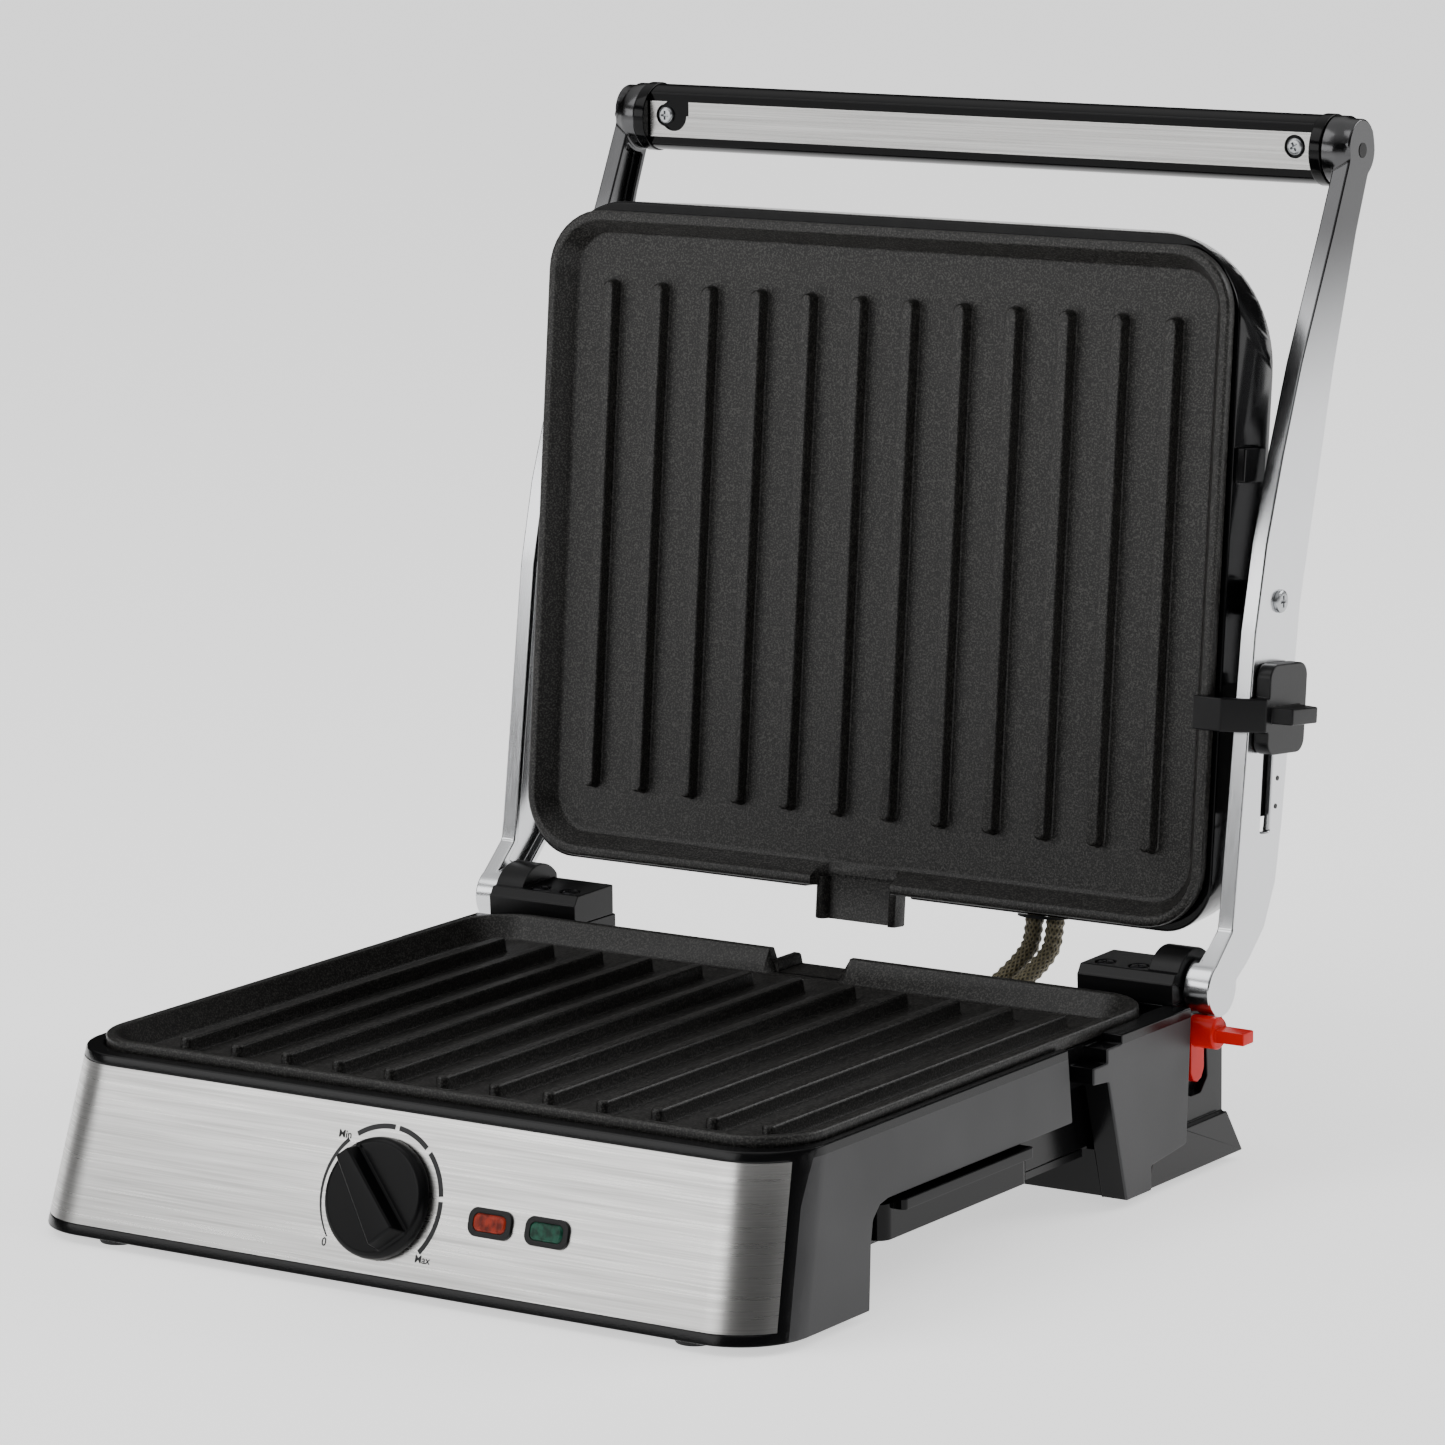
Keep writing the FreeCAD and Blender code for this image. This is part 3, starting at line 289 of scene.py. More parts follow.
@dataclass(frozen=True)
class HousingMoulding(Moulded):
    """The base's moulding: grained grey outer sides, and polished black for everything else."""

    trim: str = "#0A0A0B"
    trim_roughness: float = 0.2
    deck_mm: float = 57.2
    # the grey skirts lie outside this x and in front of this y, and so do the towers' side panels
    skirt_out_mm: float = 142.9
    skirt_back_mm: float = 47.3
    tower_out_mm: float = 147.2
    tower_back_mm: float = 121.0
    # the steel panel's end leans from its foot to its top, each at (y, z)
    panel_foot_mm: tuple[float, float] = (-128.0, 6.8)
    panel_top_mm: tuple[float, float] = (-112.8, 57.0)
    panel_gap_mm: float = 4.0

    def pattern(self, tree: bpy.types.NodeTree, shader: bpy.types.Node) -> None:
        """Adds the grain, then the black by place: sides are told by how far out and how far back they are.

        Args:
            tree: The material's tree.
            shader: Its Principled shader.
        """
        super().pattern(tree, shader)
        place = add(tree, "ShaderNodeTexCoord").outputs["Object"]
        shift = tuple(DRAWING_SHIFT * MM)
        drawn = add(tree, "ShaderNodeVectorMath", {0: place, 1: shift}, operation="ADD").outputs[0]
        axes = add(tree, "ShaderNodeSeparateXYZ", {0: drawn}).outputs
        out = add(tree, "ShaderNodeMath", {0: axes["X"]}, operation="ABSOLUTE").outputs[0]
        grey_sides = []
        limits = ((self.skirt_out_mm, self.skirt_back_mm), (self.tower_out_mm, self.tower_back_mm))
        for out_mm, back_mm in limits:
            outer = add(tree, "ShaderNodeMath", {0: out, 1: out_mm * MM}, operation="GREATER_THAN").outputs[0]
            ahead = {0: axes["Y"], 1: back_mm * MM}
            fore = add(tree, "ShaderNodeMath", ahead, operation="LESS_THAN").outputs[0]
            both = add(tree, "ShaderNodeMath", {0: outer, 1: fore}, operation="MULTIPLY").outputs[0]
            grey_sides.append(both)
        side = add(tree, "ShaderNodeMath", dict(enumerate(grey_sides)), operation="MAXIMUM").outputs[0]
        inside = add(tree, "ShaderNodeMath", {0: 1.0, 1: side}, operation="SUBTRACT").outputs[0]
        deck_from = {0: axes["Z"], 1: self.deck_mm * MM}
        deck = add(tree, "ShaderNodeMath", deck_from, operation="GREATER_THAN").outputs[0]
        (foot_y, foot_z), (top_y, top_z) = self.panel_foot_mm, self.panel_top_mm
        slope = (top_y - foot_y) / (top_z - foot_z)
        lean = {0: axes["Z"], 1: slope, 2: (foot_y - slope * foot_z + self.panel_gap_mm) * MM}
        end = add(tree, "ShaderNodeMath", lean, operation="MULTIPLY_ADD").outputs[0]
        front = add(tree, "ShaderNodeMath", {0: axes["Y"], 1: end}, operation="LESS_THAN").outputs[0]
        frame = add(tree, "ShaderNodeMath", {0: deck, 1: front}, operation="MAXIMUM").outputs[0]
        black = add(tree, "ShaderNodeMath", {0: inside, 1: frame}, operation="MAXIMUM").outputs[0]
        grey = shader.inputs["Base Color"].links[0].from_socket
        mixed = add(tree, "ShaderNodeMix", {0: black, 6: grey, 7: linear(self.trim)}, data_type="RGBA")
        tree.links.new(mixed.outputs[2], shader.inputs["Base Color"])
        grained = shader.inputs["Roughness"].links[0].from_socket
        add(tree, "ShaderNodeMix", {0: black, 2: grained, 3: self.trim_roughness}, shader.inputs["Roughness"])


@dataclass(frozen=True)
class Brushed(Finish):
    """Sheet metal drawn under an abrasive belt: long scratches that stay level and follow its bends."""

    metallic: float = 1.0
    # real scratches are under 0.1 mm wide, too fine to show, so they are drawn wider
    scratch_mm: float = 0.55
    length: float = 90.0
    depth_mm: float = 0.01

    def pattern(self, tree: bpy.types.NodeTree, shader: bpy.types.Node) -> None:
        """Adds long scratches in the colour, the roughness and the relief.

        Args:
            tree: The material's tree.
            shader: Its Principled shader.
        """
        streak = self.noise(tree, self.scratch_mm, 4.0, (self.length, 0.6 * self.length, 1))
        broad = self.noise(tree, 3.5 * self.scratch_mm, 2.0, (0.5 * self.length, 0.3 * self.length, 1))
        both = add(tree, "ShaderNodeMix", {0: 0.4, 2: streak, 3: broad}).outputs[0]
        darker, lighter = shades(self.colour, 0.78, 1.12)
        stops = [(0.36, darker), (0.62, lighter)]
        add(tree, "ShaderNodeValToRGB", {0: both}, shader.inputs["Base Color"], stops)
        self.gloss(tree, shader, both, self.roughness + 0.1, max(0.05, self.roughness - 0.08))
        self.relief(tree, shader, both, self.depth_mm)
        shader.inputs["Anisotropic"].default_value = 0.5


@dataclass(frozen=True)
class SatinCasting(Finish):
    """Die-cast aluminium, belt-polished and lacquered, with a painted dark reflection that fades in towards
    the handle.
    """

    metallic: float = 1.0
    grain_mm: float = 0.5
    # painted dark reflection: the colour darkens from the first height to the second, towards the handle
    painted_dark_reflection: str = "#4A4A4B"
    painted_dark_reflection_from_mm: float = 246.0
    painted_dark_reflection_full_mm: float = 318.0

    def pattern(self, tree: bpy.types.NodeTree, shader: bpy.types.Node) -> None:
        """Adds the faint grain, the painted dark reflection by distance from the hinge, and a clear lacquer.

        Args:
            tree: The material's tree.
            shader: Its Principled shader.
        """
        place = add(tree, "ShaderNodeTexCoord").outputs["Object"]
        handle = add(tree, "ShaderNodeSeparateXYZ", {0: place}).outputs["Z"]
        reach = {0: handle, 1: self.painted_dark_reflection_from_mm * MM, 2: self.painted_dark_reflection_full_mm * MM}
        share = add(tree, "ShaderNodeMapRange", reach, interpolation_type="SMOOTHSTEP").outputs[0]
        # painted dark reflection: the arm's colour turns darker towards the handle
        stops = [(0.0, linear(self.colour)), (1.0, linear(self.painted_dark_reflection))]
        add(tree, "ShaderNodeValToRGB", {0: share}, shader.inputs["Base Color"], stops)
        grain = self.noise(tree, self.grain_mm, 3.0, (1, 3, 30))
        self.gloss(tree, shader, grain, self.roughness - 0.04, self.roughness + 0.06)
        self.relief(tree, shader, grain, 0.006)
        shader.inputs["Coat Weight"].default_value = 0.25
        shader.inputs["Coat Roughness"].default_value = 0.12


@dataclass(frozen=True)
class NonStick(Finish):
    """Sprayed and baked non-stick coating on a casting: orange peel with fine light mineral specks."""

    # real specks are about 0.2 mm, too fine to show, so they are drawn larger
    speck: str = "#3A3937"
    speck_mm: float = 0.62
    peel_mm: float = 0.8

    def pattern(self, tree: bpy.types.NodeTree, shader: bpy.types.Node) -> None:
        """Adds specks, orange peel and uneven gloss.

        Args:
            tree: The material's tree.
            shader: Its Principled shader.
        """
        specks = self.noise(tree, self.speck_mm, 2.0)
        darker, coating = shades(self.colour, 0.45, 1.0)
        stops = [(0.32, darker), (0.5, coating), (0.62, linear(self.speck))]
        add(tree, "ShaderNodeValToRGB", {0: specks}, shader.inputs["Base Color"], stops)
        peel = self.noise(tree, self.peel_mm, 2.0)
        self.gloss(tree, shader, peel, self.roughness - 0.08, self.roughness + 0.08)
        self.relief(tree, shader, peel, 0.12, 0.8)
        shader.inputs["Specular IOR Level"].default_value = 0.3


@dataclass(frozen=True)
class Plated(Finish):
    """Nickel or zinc plate over steel: bright, with a slight cloud of oxide."""

    metallic: float = 1.0

    def pattern(self, tree: bpy.types.NodeTree, shader: bpy.types.Node) -> None:
        """Adds the cloudy gloss.

        Args:
            tree: The material's tree.
            shader: Its Principled shader.
        """
        cloud = self.noise(tree, 4.0)
        self.gloss(tree, shader, cloud, self.roughness - 0.05, self.roughness + 0.1)
        self.relief(tree, shader, self.noise(tree, 0.6), 0.008)


@dataclass(frozen=True)
class TintedLens(Finish):
    """Clear tinted acrylic over a dark lamp chamber: deep colour under a polished face, with prism ribs."""

    rib_mm: float = 1.5

    def pattern(self, tree: bpy.types.NodeTree, shader: bpy.types.Node) -> None:
        """Adds a blotchy depth, moulded prism ribs and a polished face.

        Args:
            tree: The material's tree.
            shader: Its Principled shader.
        """
        depth = self.noise(tree, 2.6, 2.0)
        darker, tint = shades(self.colour, 0.35, 1.0)
        stops = [(0.38, darker), (0.6, tint)]
        add(tree, "ShaderNodeValToRGB", {0: depth}, shader.inputs["Base Color"], stops)
        place = add(tree, "ShaderNodeTexCoord").outputs["Object"]
        mapped = add(tree, "ShaderNodeMapping", {"Vector": place, "Scale": (0.31 / (self.rib_mm * MM),) * 3})
        ribs = add(tree, "ShaderNodeTexWave", {"Vector": mapped.outputs[0], "Scale": 1.0}, wave_type="BANDS")
        self.relief(tree, shader, ribs.outputs["Fac"], 0.12, 0.5)
        shader.inputs["Specular IOR Level"].default_value = 0.15


@dataclass(frozen=True)
class Braid(Finish):
    """Braided glass-fibre sleeving: diagonal strands over and under each other, lacquered olive brown."""

    # colour of the strands' crowns; the darker body colour down in the hollows is painted shade
    light: str = "#776E52"
    strands: float = 12.0

    def pattern(self, tree: bpy.types.NodeTree, shader: bpy.types.Node) -> None:
        """Adds the strands, which follow the sleeve's own UV map, with painted shade in the hollows between
        them.

        Args:
            tree: The material's tree.
            shader: Its Principled shader.
        """
        place = add(tree, "ShaderNodeUVMap", uv_map="along").outputs[0]
        axes = add(tree, "ShaderNodeSeparateXYZ", {0: place}).outputs
        waves = []
        for lean in (self.strands, -self.strands):
            tilted = {0: axes["X"], 1: lean, 2: axes["Y"]}
            phase = add(tree, "ShaderNodeMath", tilted, operation="MULTIPLY_ADD").outputs[0]
            turned = add(tree, "ShaderNodeMath", {0: phase, 1: 2 * math.pi}, operation="MULTIPLY").outputs[0]
            waves.append(add(tree, "ShaderNodeMath", {0: turned}, operation="SINE").outputs[0])
        over = add(tree, "ShaderNodeMath", dict(enumerate(waves)), operation="MAXIMUM").outputs[0]
        height = add(tree, "ShaderNodeMapRange", {0: over, 1: -1.0, 2: 1.0}).outputs[0]
        # painted shade: colour follows the strands' height, darkest in the hollows between them
        stops = [(0.2, linear(self.colour)), (0.9, linear(self.light))]
        add(tree, "ShaderNodeValToRGB", {0: height}, shader.inputs["Base Color"], stops)
        self.relief(tree, shader, height, 0.35)
        shader.inputs["Sheen Weight"].default_value = 0.2


# injection-moulded nylon, polypropylene and ABS
GREY_HOUSING = HousingMoulding("grained_grey_polypropylene", "#3A3A3B", 0.42, specular=0.2)
BLACK_NYLON = Moulded("satin_black_nylon", "#0D0D0E", 0.33, specular=0.2)
BLACK_POLISHED = Moulded("polished_black_abs", "#060607", 0.14, grain_mm=6.0, depth_mm=0.01, specular=0.14)
KNOB_BLACK = Moulded("satin_black_phenolic", "#060607", 0.3, grain_mm=0.9, depth_mm=0.01, specular=0.12)
RED_NYLON = Moulded("red_nylon", "#BE120E", 0.32, grain_mm=1.2, depth_mm=0.01, specular=0.15)
RUBBER = Moulded("moulded_rubber", "#131315", 0.7, grain_mm=0.9, depth_mm=0.04)
# steel sheet coloured black, which keeps the recess behind the skirt dark where the bottom cover and tray
# rails show
RECESS_BLACK = Moulded("black_sheet_behind_skirt", "#0C0C0D", 0.3, grain_mm=2.5, depth_mm=0.02, specular=0.25)
# belt-brushed and drawn metal
PANEL_STEEL = Brushed("belt_brushed_stainless_steel", "#C9C8C6", 0.28)
STRIP_STEEL = Brushed("brushed_handle_strip", "#BDBCBA", 0.25, scratch_mm=0.5, length=160.0)
ARM_METAL = SatinCasting("satin_die_cast_aluminium", "#CDCED0", 0.2)
BRIGHT_SHEET = Plated("bright_rolled_aluminium", "#D8D9DB", 0.22)
ZINC = Plated("clear_zinc_plate", "#A8AAAC", 0.3)
BLACK_OXIDE = Plated("black_oxide_screws", "#2C2C2E", 0.38)
NICKEL = Plated("bright_nickel_plate", "#CFCDC8", 0.18)
SHEATH = Plated("heat_darkened_incoloy", "#5C5248", 0.5, metallic=0.9)
# sprayed and baked coating
PLATE_COATING = NonStick("sprayed_non_stick_coating", "#171615", 0.42)
# clear tinted acrylic, glass, glazed steatite, braided glass fibre and screen print
RED_LENS = TintedLens("red_acrylic", "#8E2A18", 0.25)
GREEN_LENS = TintedLens("green_acrylic", "#1C4A3A", 0.25)
LAMP = Finish("neon_lamp_glass", "#E8B48C", 0.1)
STEATITE = Moulded("glazed_steatite", "#E4E0D4", 0.25, grain_mm=1.5)
SLEEVE = Braid("braided_glass_fibre", "#2B2719", 0.6)
PRINT_INK = Moulded("screen_printed_ink", "#1C1C1E", 0.55, grain_mm=0.5, depth_mm=0.003)


# ---------------------------------------------------------------------------- mesh tools


def linked(name: str, mesh: bmesh.types.BMesh, finish: Finish) -> bpy.types.Object:
    """Turns a bmesh into an object at the origin.

    Args:
        name: The object's name.
        mesh: Its shape, which is used up.
        finish: What it is made of.

    Returns:
        The new object.
    """
    data = bpy.data.meshes.new(name)
    mesh.to_mesh(data)
    mesh.free()
    data.materials.append(finish.material())
    made = bpy.data.objects.new(name, data)
    bpy.context.scene.collection.objects.link(made)
    return made


def applied(carrier: bpy.types.Object) -> bmesh.types.BMesh:
    """Turns an object's text, curve or modifiers into a plain mesh, and removes the object.

    Args:
        carrier: The object, not yet in the scene.

    Returns:
        Its shape.
    """
    bpy.context.scene.collection.objects.link(carrier)
    bpy.context.view_layer.update()
    graph = bpy.context.evaluated_depsgraph_get()
    data = bpy.data.meshes.new_from_object(carrier.evaluated_get(graph))
    bpy.data.objects.remove(carrier)
    mesh = bmesh.new()
    mesh.from_mesh(data)
    bpy.data.meshes.remove(data)
    return mesh


def piece(name: str, mesh: bmesh.types.BMesh, place: Matrix, finish: Finish, body: Body,
          crease_degrees: float = 35.0) -> bpy.types.Object:
    """Turns a bmesh into a finished piece that rides on a body.

    Args:
        name: The piece's name.
        mesh: Its shape, which is used up.
        place: From the shape's own frame to the row's, in metres.
        finish: What it is made of.
        body: The body that it moves with.
        crease_degrees: Edges sharper than this stay crisp.

    Returns:
        The new object, at the origin.
    """
    mesh.transform(place)
    bmesh.ops.recalc_face_normals(mesh, faces=mesh.faces)
    limit = math.radians(crease_degrees)
    for face in mesh.faces:
        face.smooth = True
    for edge in mesh.edges:
        edge.smooth = edge.calc_face_angle(0.0) < limit
    made = linked(name, mesh, finish)
    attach(made, body.value)
    LOG.info("piece %s: %d faces on %s", name, len(made.data.polygons), body.value)
    return made


def softened(node: str, finish: Finish, body: Body, radius_mm: float = 0.4, segments: int = 2,
             turn_degrees: float = 30.0, name: Optional[str] = None) -> bpy.types.Object:
    """Makes a copy of a CAD node with small rounds on its edges, and hides the node.

    Args:
        node: The CAD node.
        finish: What it is made of.
        body: The body that it moves with.
        radius_mm: Size of the rounds, or 0 for none.
        segments: Steps in each round.
        turn_degrees: Edges that turn more than this are rounded.
        name: The piece's name, or None for the node's name with _finished.

    Returns:
        The new object.
    """
    mesh = bmesh.new()
    mesh.from_mesh(bpy.data.objects[node].data)
    bmesh.ops.remove_doubles(mesh, verts=mesh.verts, dist=2e-6)
    bmesh.ops.dissolve_limit(mesh, angle_limit=math.radians(0.8), verts=mesh.verts, edges=mesh.edges)
    if radius_mm > 0:
        limit = math.radians(turn_degrees)
        sharp = [e for e in mesh.edges if len(e.link_faces) == 2 and e.calc_face_angle(0.0) > limit]
        bmesh.ops.bevel(mesh, geom=sharp, offset=radius_mm * MM, segments=segments, profile=0.5,
                        affect="EDGES", clamp_overlap=False, miter_outer="ARC")
    made = piece(name or node + "_finished", mesh, Matrix.Identity(4), finish, body)
    weigh = made.modifiers.new("flat faces stay flat", "WEIGHTED_NORMAL")
    weigh.keep_sharp = True
    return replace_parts(made, node)


def outline(half_width: float, half_depth: float, radius: float, steps: int = 8,
            extra: Sequence[float] = ()) -> list[Vector]:
    """A rounded rectangle's points in plan, anticlockwise from the right side's lower end.

    Args:
        half_width: Half its size along x.
        half_depth: Half its size along y.
        radius: Corner radius.
        steps: Segments in each corner.
        extra: Places on the lower edge, as x values from right to left, that get points too.

    Returns:
        The points at z = 0.
    """
    points = []
    corners = [(1, 1, 0), (-1, 1, 90), (-1, -1, 180), (1, -1, 270)]
    for sx, sy, start in corners:
        centre = Vector((sx * (half_width - radius), sy * (half_depth - radius), 0))
        for step in range(steps + 1):
            turn = math.radians(start + 90 * step / steps)
            points.append(centre + Vector((radius * math.cos(turn), radius * math.sin(turn), 0)))
        if start == 180:
            points += [Vector((x, -half_depth, 0)) for x in sorted(extra)]
    return points


def add_rings(mesh: bmesh.types.BMesh, rings: Sequence[Sequence[Vector]], closed: bool = False) -> list:
    """Joins rings of points with quads.

    Args:
        mesh: The mesh that gets them.
        rings: Rings with the same number of points each.
        closed: Whether the last ring joins the first.

    Returns:
        The rings' vertices.
    """
    made = [[mesh.verts.new(p) for p in ring] for ring in rings]
    count = len(made[0])
    pairs = list(zip(made, made[1:])) + ([(made[-1], made[0])] if closed else [])
    for lower, upper in pairs:
        for i in range(count):
            j = (i + 1) % count
            mesh.faces.new((lower[i], lower[j], upper[j], upper[i]))
    return made


# ---------------------------------------------------------------------------- geometry nodes


def row_tree() -> bpy.types.NodeTree:
    """A Geometry Nodes tree that repeats a template in a row, turning it from one to the next.

    Returns:
        The tree, with the named inputs Count, Start, Step, Turn and Finish.
    """
    known = bpy.data.node_groups.get("repeat_in_a_row")
    if known is not None:
        return known
    tree = bpy.data.node_groups.new("repeat_in_a_row", "GeometryNodeTree")
    face = tree.interface
    face.new_socket("Geometry", in_out="INPUT", socket_type="NodeSocketGeometry")
    face.new_socket("Count", in_out="INPUT", socket_type="NodeSocketInt")
    for name in ("Start", "Step", "Turn"):
        face.new_socket(name, in_out="INPUT", socket_type="NodeSocketVector")
    face.new_socket("Finish", in_out="INPUT", socket_type="NodeSocketMaterial")
    face.new_socket("Geometry", in_out="OUTPUT", socket_type="NodeSocketGeometry")
    given = add(tree, "NodeGroupInput").outputs
    line = add(tree, "GeometryNodeMeshLine", {"Count": given["Count"], "Start Location": given["Start"],
                                              "Offset": given["Step"]}, mode="OFFSET").outputs[0]
    number = add(tree, "GeometryNodeInputIndex").outputs[0]
    turning = {0: given["Turn"], "Scale": number}
    turn = add(tree, "ShaderNodeVectorMath", turning, operation="SCALE").outputs[0]
    placed = add(tree, "GeometryNodeInstanceOnPoints", {"Points": line, "Instance": given["Geometry"],
                                                        "Rotation": turn}).outputs[0]
    real = add(tree, "GeometryNodeRealizeInstances", {0: placed}).outputs[0]
    dressed = add(tree, "GeometryNodeSetMaterial", {"Geometry": real, "Material": given["Finish"]}).outputs[0]
    add(tree, "NodeGroupOutput", {0: dressed})
    return tree


def repeated(name: str, template: bmesh.types.BMesh, place: Matrix, finish: Finish, body: Body, count: int,
             start: Sequence[float], step: Sequence[float],
             turn: Sequence[float] = (0, 0, 0)) -> bpy.types.Object:
    """Repeats a template in a row with Geometry Nodes, as a plain mesh piece.

    Args:
        name: The piece's name.
        template: One of the repeated shapes, in millimetres, which is used up.
        place: From the shapes' frame to the row's.
        finish: What they are made of.
        body: The body that they move with.
        count: How many there are.
        start: Place of the first.
        step: From each to the next.
        turn: Turn from each to the next, in radians.

    Returns:
        The new object.
    """
    bmesh.ops.recalc_face_normals(template, faces=template.faces)
    data = bpy.data.meshes.new(name + "_template")
    template.to_mesh(data)
    template.free()
    carrier = bpy.data.objects.new(name + "_template", data)
    modifier = carrier.modifiers.new("row", "NODES")
    tree = row_tree()
    modifier.node_group = tree
    values = {"Count": count, "Start": start, "Step": step, "Turn": turn, "Finish": finish.material()}
    for socket in tree.interface.items_tree:
        if socket.in_out == "INPUT" and socket.name in values:
            modifier[socket.identifier] = values[socket.name]
    return piece(name, applied(carrier), place, finish, body)


def screw_head(radius: float, height: float, shank: float = 0.0) -> bmesh.types.BMesh:
    """One pan-head screw with a cross recess, standing on z = 0 and facing +z, in millimetres.

    Args:
        radius: The head's radius.
        height: The head's height.
        shank: How far a short shank reaches below.

    Returns:
        The mesh.
    """
    mesh = bmesh.new()
    count = 32
    profile = [(radius * 0.62, height), (radius * 0.82, 0.92 * height), (radius * 0.95, 0.7 * height),
               (radius, 0.35 * height), (radius, 0.0), (radius * 0.45, 0.0), (radius * 0.45, -shank)]
    rings = []
    for ring_radius, z in profile:
        turns = [2 * math.pi * i / count for i in range(count)]
        rings.append([Vector((ring_radius * math.cos(t), ring_radius * math.sin(t), z)) for t in turns])
    made = add_rings(mesh, rings)
    mesh.faces.new(made[-1])
    wide, long = 0.13 * radius, 0.52 * radius
    plus = [(wide, wide), (wide, long), (-wide, long), (-wide, wide), (-long, wide), (-long, -wide),
            (-wide, -wide), (-wide, -long), (wide, -long), (wide, -wide), (long, -wide), (long, wide)]
    top = [mesh.verts.new((x, y, height)) for x, y in plus]
    low = [mesh.verts.new((0.75 * x, 0.75 * y, 0.35 * height)) for x, y in plus]
    edges = [mesh.edges.new((top[i], top[(i + 1) % 12])) for i in range(12)]
    rim = [mesh.edges.get((made[0][i], made[0][(i + 1) % count])) for i in range(count)]
    bmesh.ops.triangle_fill(mesh, edges=edges + rim, use_beauty=True)
    for i in range(12):
        j = (i + 1) % 12
        mesh.faces.new((top[i], top[j], low[j], low[i]))
    mesh.faces.new(low)
    return mesh


def disc(near_radius: float, far_radius: float, depth: float, segments: int) -> bmesh.types.BMesh:
    """One short plug along x, in millimetres.

    Args:
        near_radius: Its radius at its left end.
        far_radius: Its radius at its right end.
        depth: How long it is.
        segments: Sides of its outline.

    Returns:
        The mesh.
    """
    mesh = bmesh.new()
    bmesh.ops.create_cone(mesh, cap_ends=True, segments=segments, radius1=near_radius, radius2=far_radius,
                          depth=depth, matrix=FACING_RIGHT)
    return mesh


# ---------------------------------------------------------------------------- sub-assemblies


@dataclass
class GrillPlate:
    """One ribbed grill plate: a dished casting, its twelve ribs and its grease spout."""

    name: str
    node: str
    place: Matrix
    body: Body
    half_width: float = 139.5
    half_depth: float = 116.0
    corner: float = 22.0
    rim: float = 3.0
    floor: float = -5.0
    rib_pitch: float = 21.0
    rib_length: float = 182.0
    rib_count: int = 12
    notch: float = 14.0

    def build(self) -> None:
        """Makes the dish with its spout, and the ribs."""
        dish = self.dish()
        made = piece(self.name + "_dish", dish, self.place, PLATE_COATING, self.body, 50)
        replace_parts(made, self.node)
        spout = self.spout()
        piece(self.name + "_spout", spout, self.place, PLATE_COATING, self.body, 40)
        first = -0.5 * (self.rib_count - 1) * self.rib_pitch
        repeated(self.name + "_ribs", self.rib(), self.place, PLATE_COATING, self.body, self.rib_count,
                 (first, 0, 0), (self.rib_pitch, 0, 0))

    def ring(self, inset: float, z: float) -> list[Vector]:
        """Draws the plate's outline at one level, with the rim notched down to the floor at the spout.

        Args:
            inset: How far it is set in all round.
            z: The level.

        Returns:
            The outline's points.
        """
        radius = max(3.0, self.corner - inset)
        extra = [-self.notch - 2.6, -self.notch, self.notch, self.notch + 2.6]
        points = outline(self.half_width - inset, self.half_depth - inset, radius, 10, extra)
        for p in points:
            p.z = z
            if abs(p.x) < self.notch + 0.1 and p.y < 0:
                p.z = min(z, self.floor)
        return points

    def dish(self) -> bmesh.types.BMesh:
        """Makes the casting without its ribs: skirt, flat rim, sloping wall and floor.

        Returns:
            The mesh.
        """
        mesh = bmesh.new()
        # inset and level, from inside the skirt over the rim to the floor
        section = [(7.0, -8.0), (7.0, -12.0), (4.0, -12.0), (4.0, -2.0), (1.2, -2.0), (0.4, -1.7),
                   (0.0, -1.0), (0.0, 2.0), (0.2, 2.6), (0.7, 2.95), (1.2, self.rim), (2.9, self.rim),
                   (3.3, 2.8), (3.7, 2.3), (7.7, -4.1), (8.1, -4.6), (8.7, -4.9), (9.6, self.floor)]
        rings = []
        for inset, z in section:
            points = self.ring(inset, z)
            if inset <= 4.0 and z < self.floor + 0.1:
                points = [Vector((p.x, p.y, z)) for p in points]
            rings.append(points)
        made = add_rings(mesh, rings)
        mesh.faces.new(made[0])
        mesh.faces.new(made[-1])
        return mesh

    def spout(self) -> bmesh.types.BMesh:
        """Makes the open channel that carries grease out past the rim.

        Returns:
            The mesh.
        """
        mesh = bmesh.new()
        edge = self.half_depth
        half, wall = 16.5, 3.0
        near, far = -edge + 3.0, -edge - 12.0
        bed = self.floor + 0.05
        section = [(-half, -8.0), (half, -8.0), (half, -1.6), (half - 0.6, -1.0), (half - wall + 0.5, -1.0),
                   (half - wall, -1.6), (half - wall - 0.6, bed), (-half + wall + 0.6, bed),
                   (-half + wall, -1.6), (-half + wall - 0.5, -1.0), (-half + 0.6, -1.0), (-half, -1.6)]
        rings = [[Vector((x, y, z)) for x, z in section] for y in (near, far + 0.5, far)]
        for p in rings[2]:
            p.x *= 0.985
            p.z = p.z - 0.25 if p.z > -4 else p.z + 0.3
        made = add_rings(mesh, rings)
        mesh.faces.new(made[0])
        mesh.faces.new(made[-1])
        return mesh

    def rib(self) -> bmesh.types.BMesh:
        """Makes one rib: a drafted bar with round ends that melts into the floor with a fillet.

        Returns:
            The mesh.
        """
        mesh = bmesh.new()
        levels = [(3.2, self.floor - 0.6), (3.1, self.floor + 0.05), (2.65, self.floor + 0.35),
                  (2.45, self.floor + 1.0), (2.25, -1.0), (2.1, -0.4), (1.85, -0.08), (1.5, 0.0)]
        rings = []
        for radius, z in levels:
            reach = self.rib_length / 2 - 2.2 - max(0.0, 2.35 - radius) * 0.6
            points = []
            for end, start in ((1, 0), (-1, 180)):
                for step in range(13):
                    turn = math.radians(start + 180 * step / 12)
                    points.append(Vector((radius * math.cos(turn), end * reach + radius * math.sin(turn), z)))
            rings.append(points)
        made = add_rings(mesh, rings)
        mesh.faces.new(made[0])
        mesh.faces.new(made[-1])
        return mesh


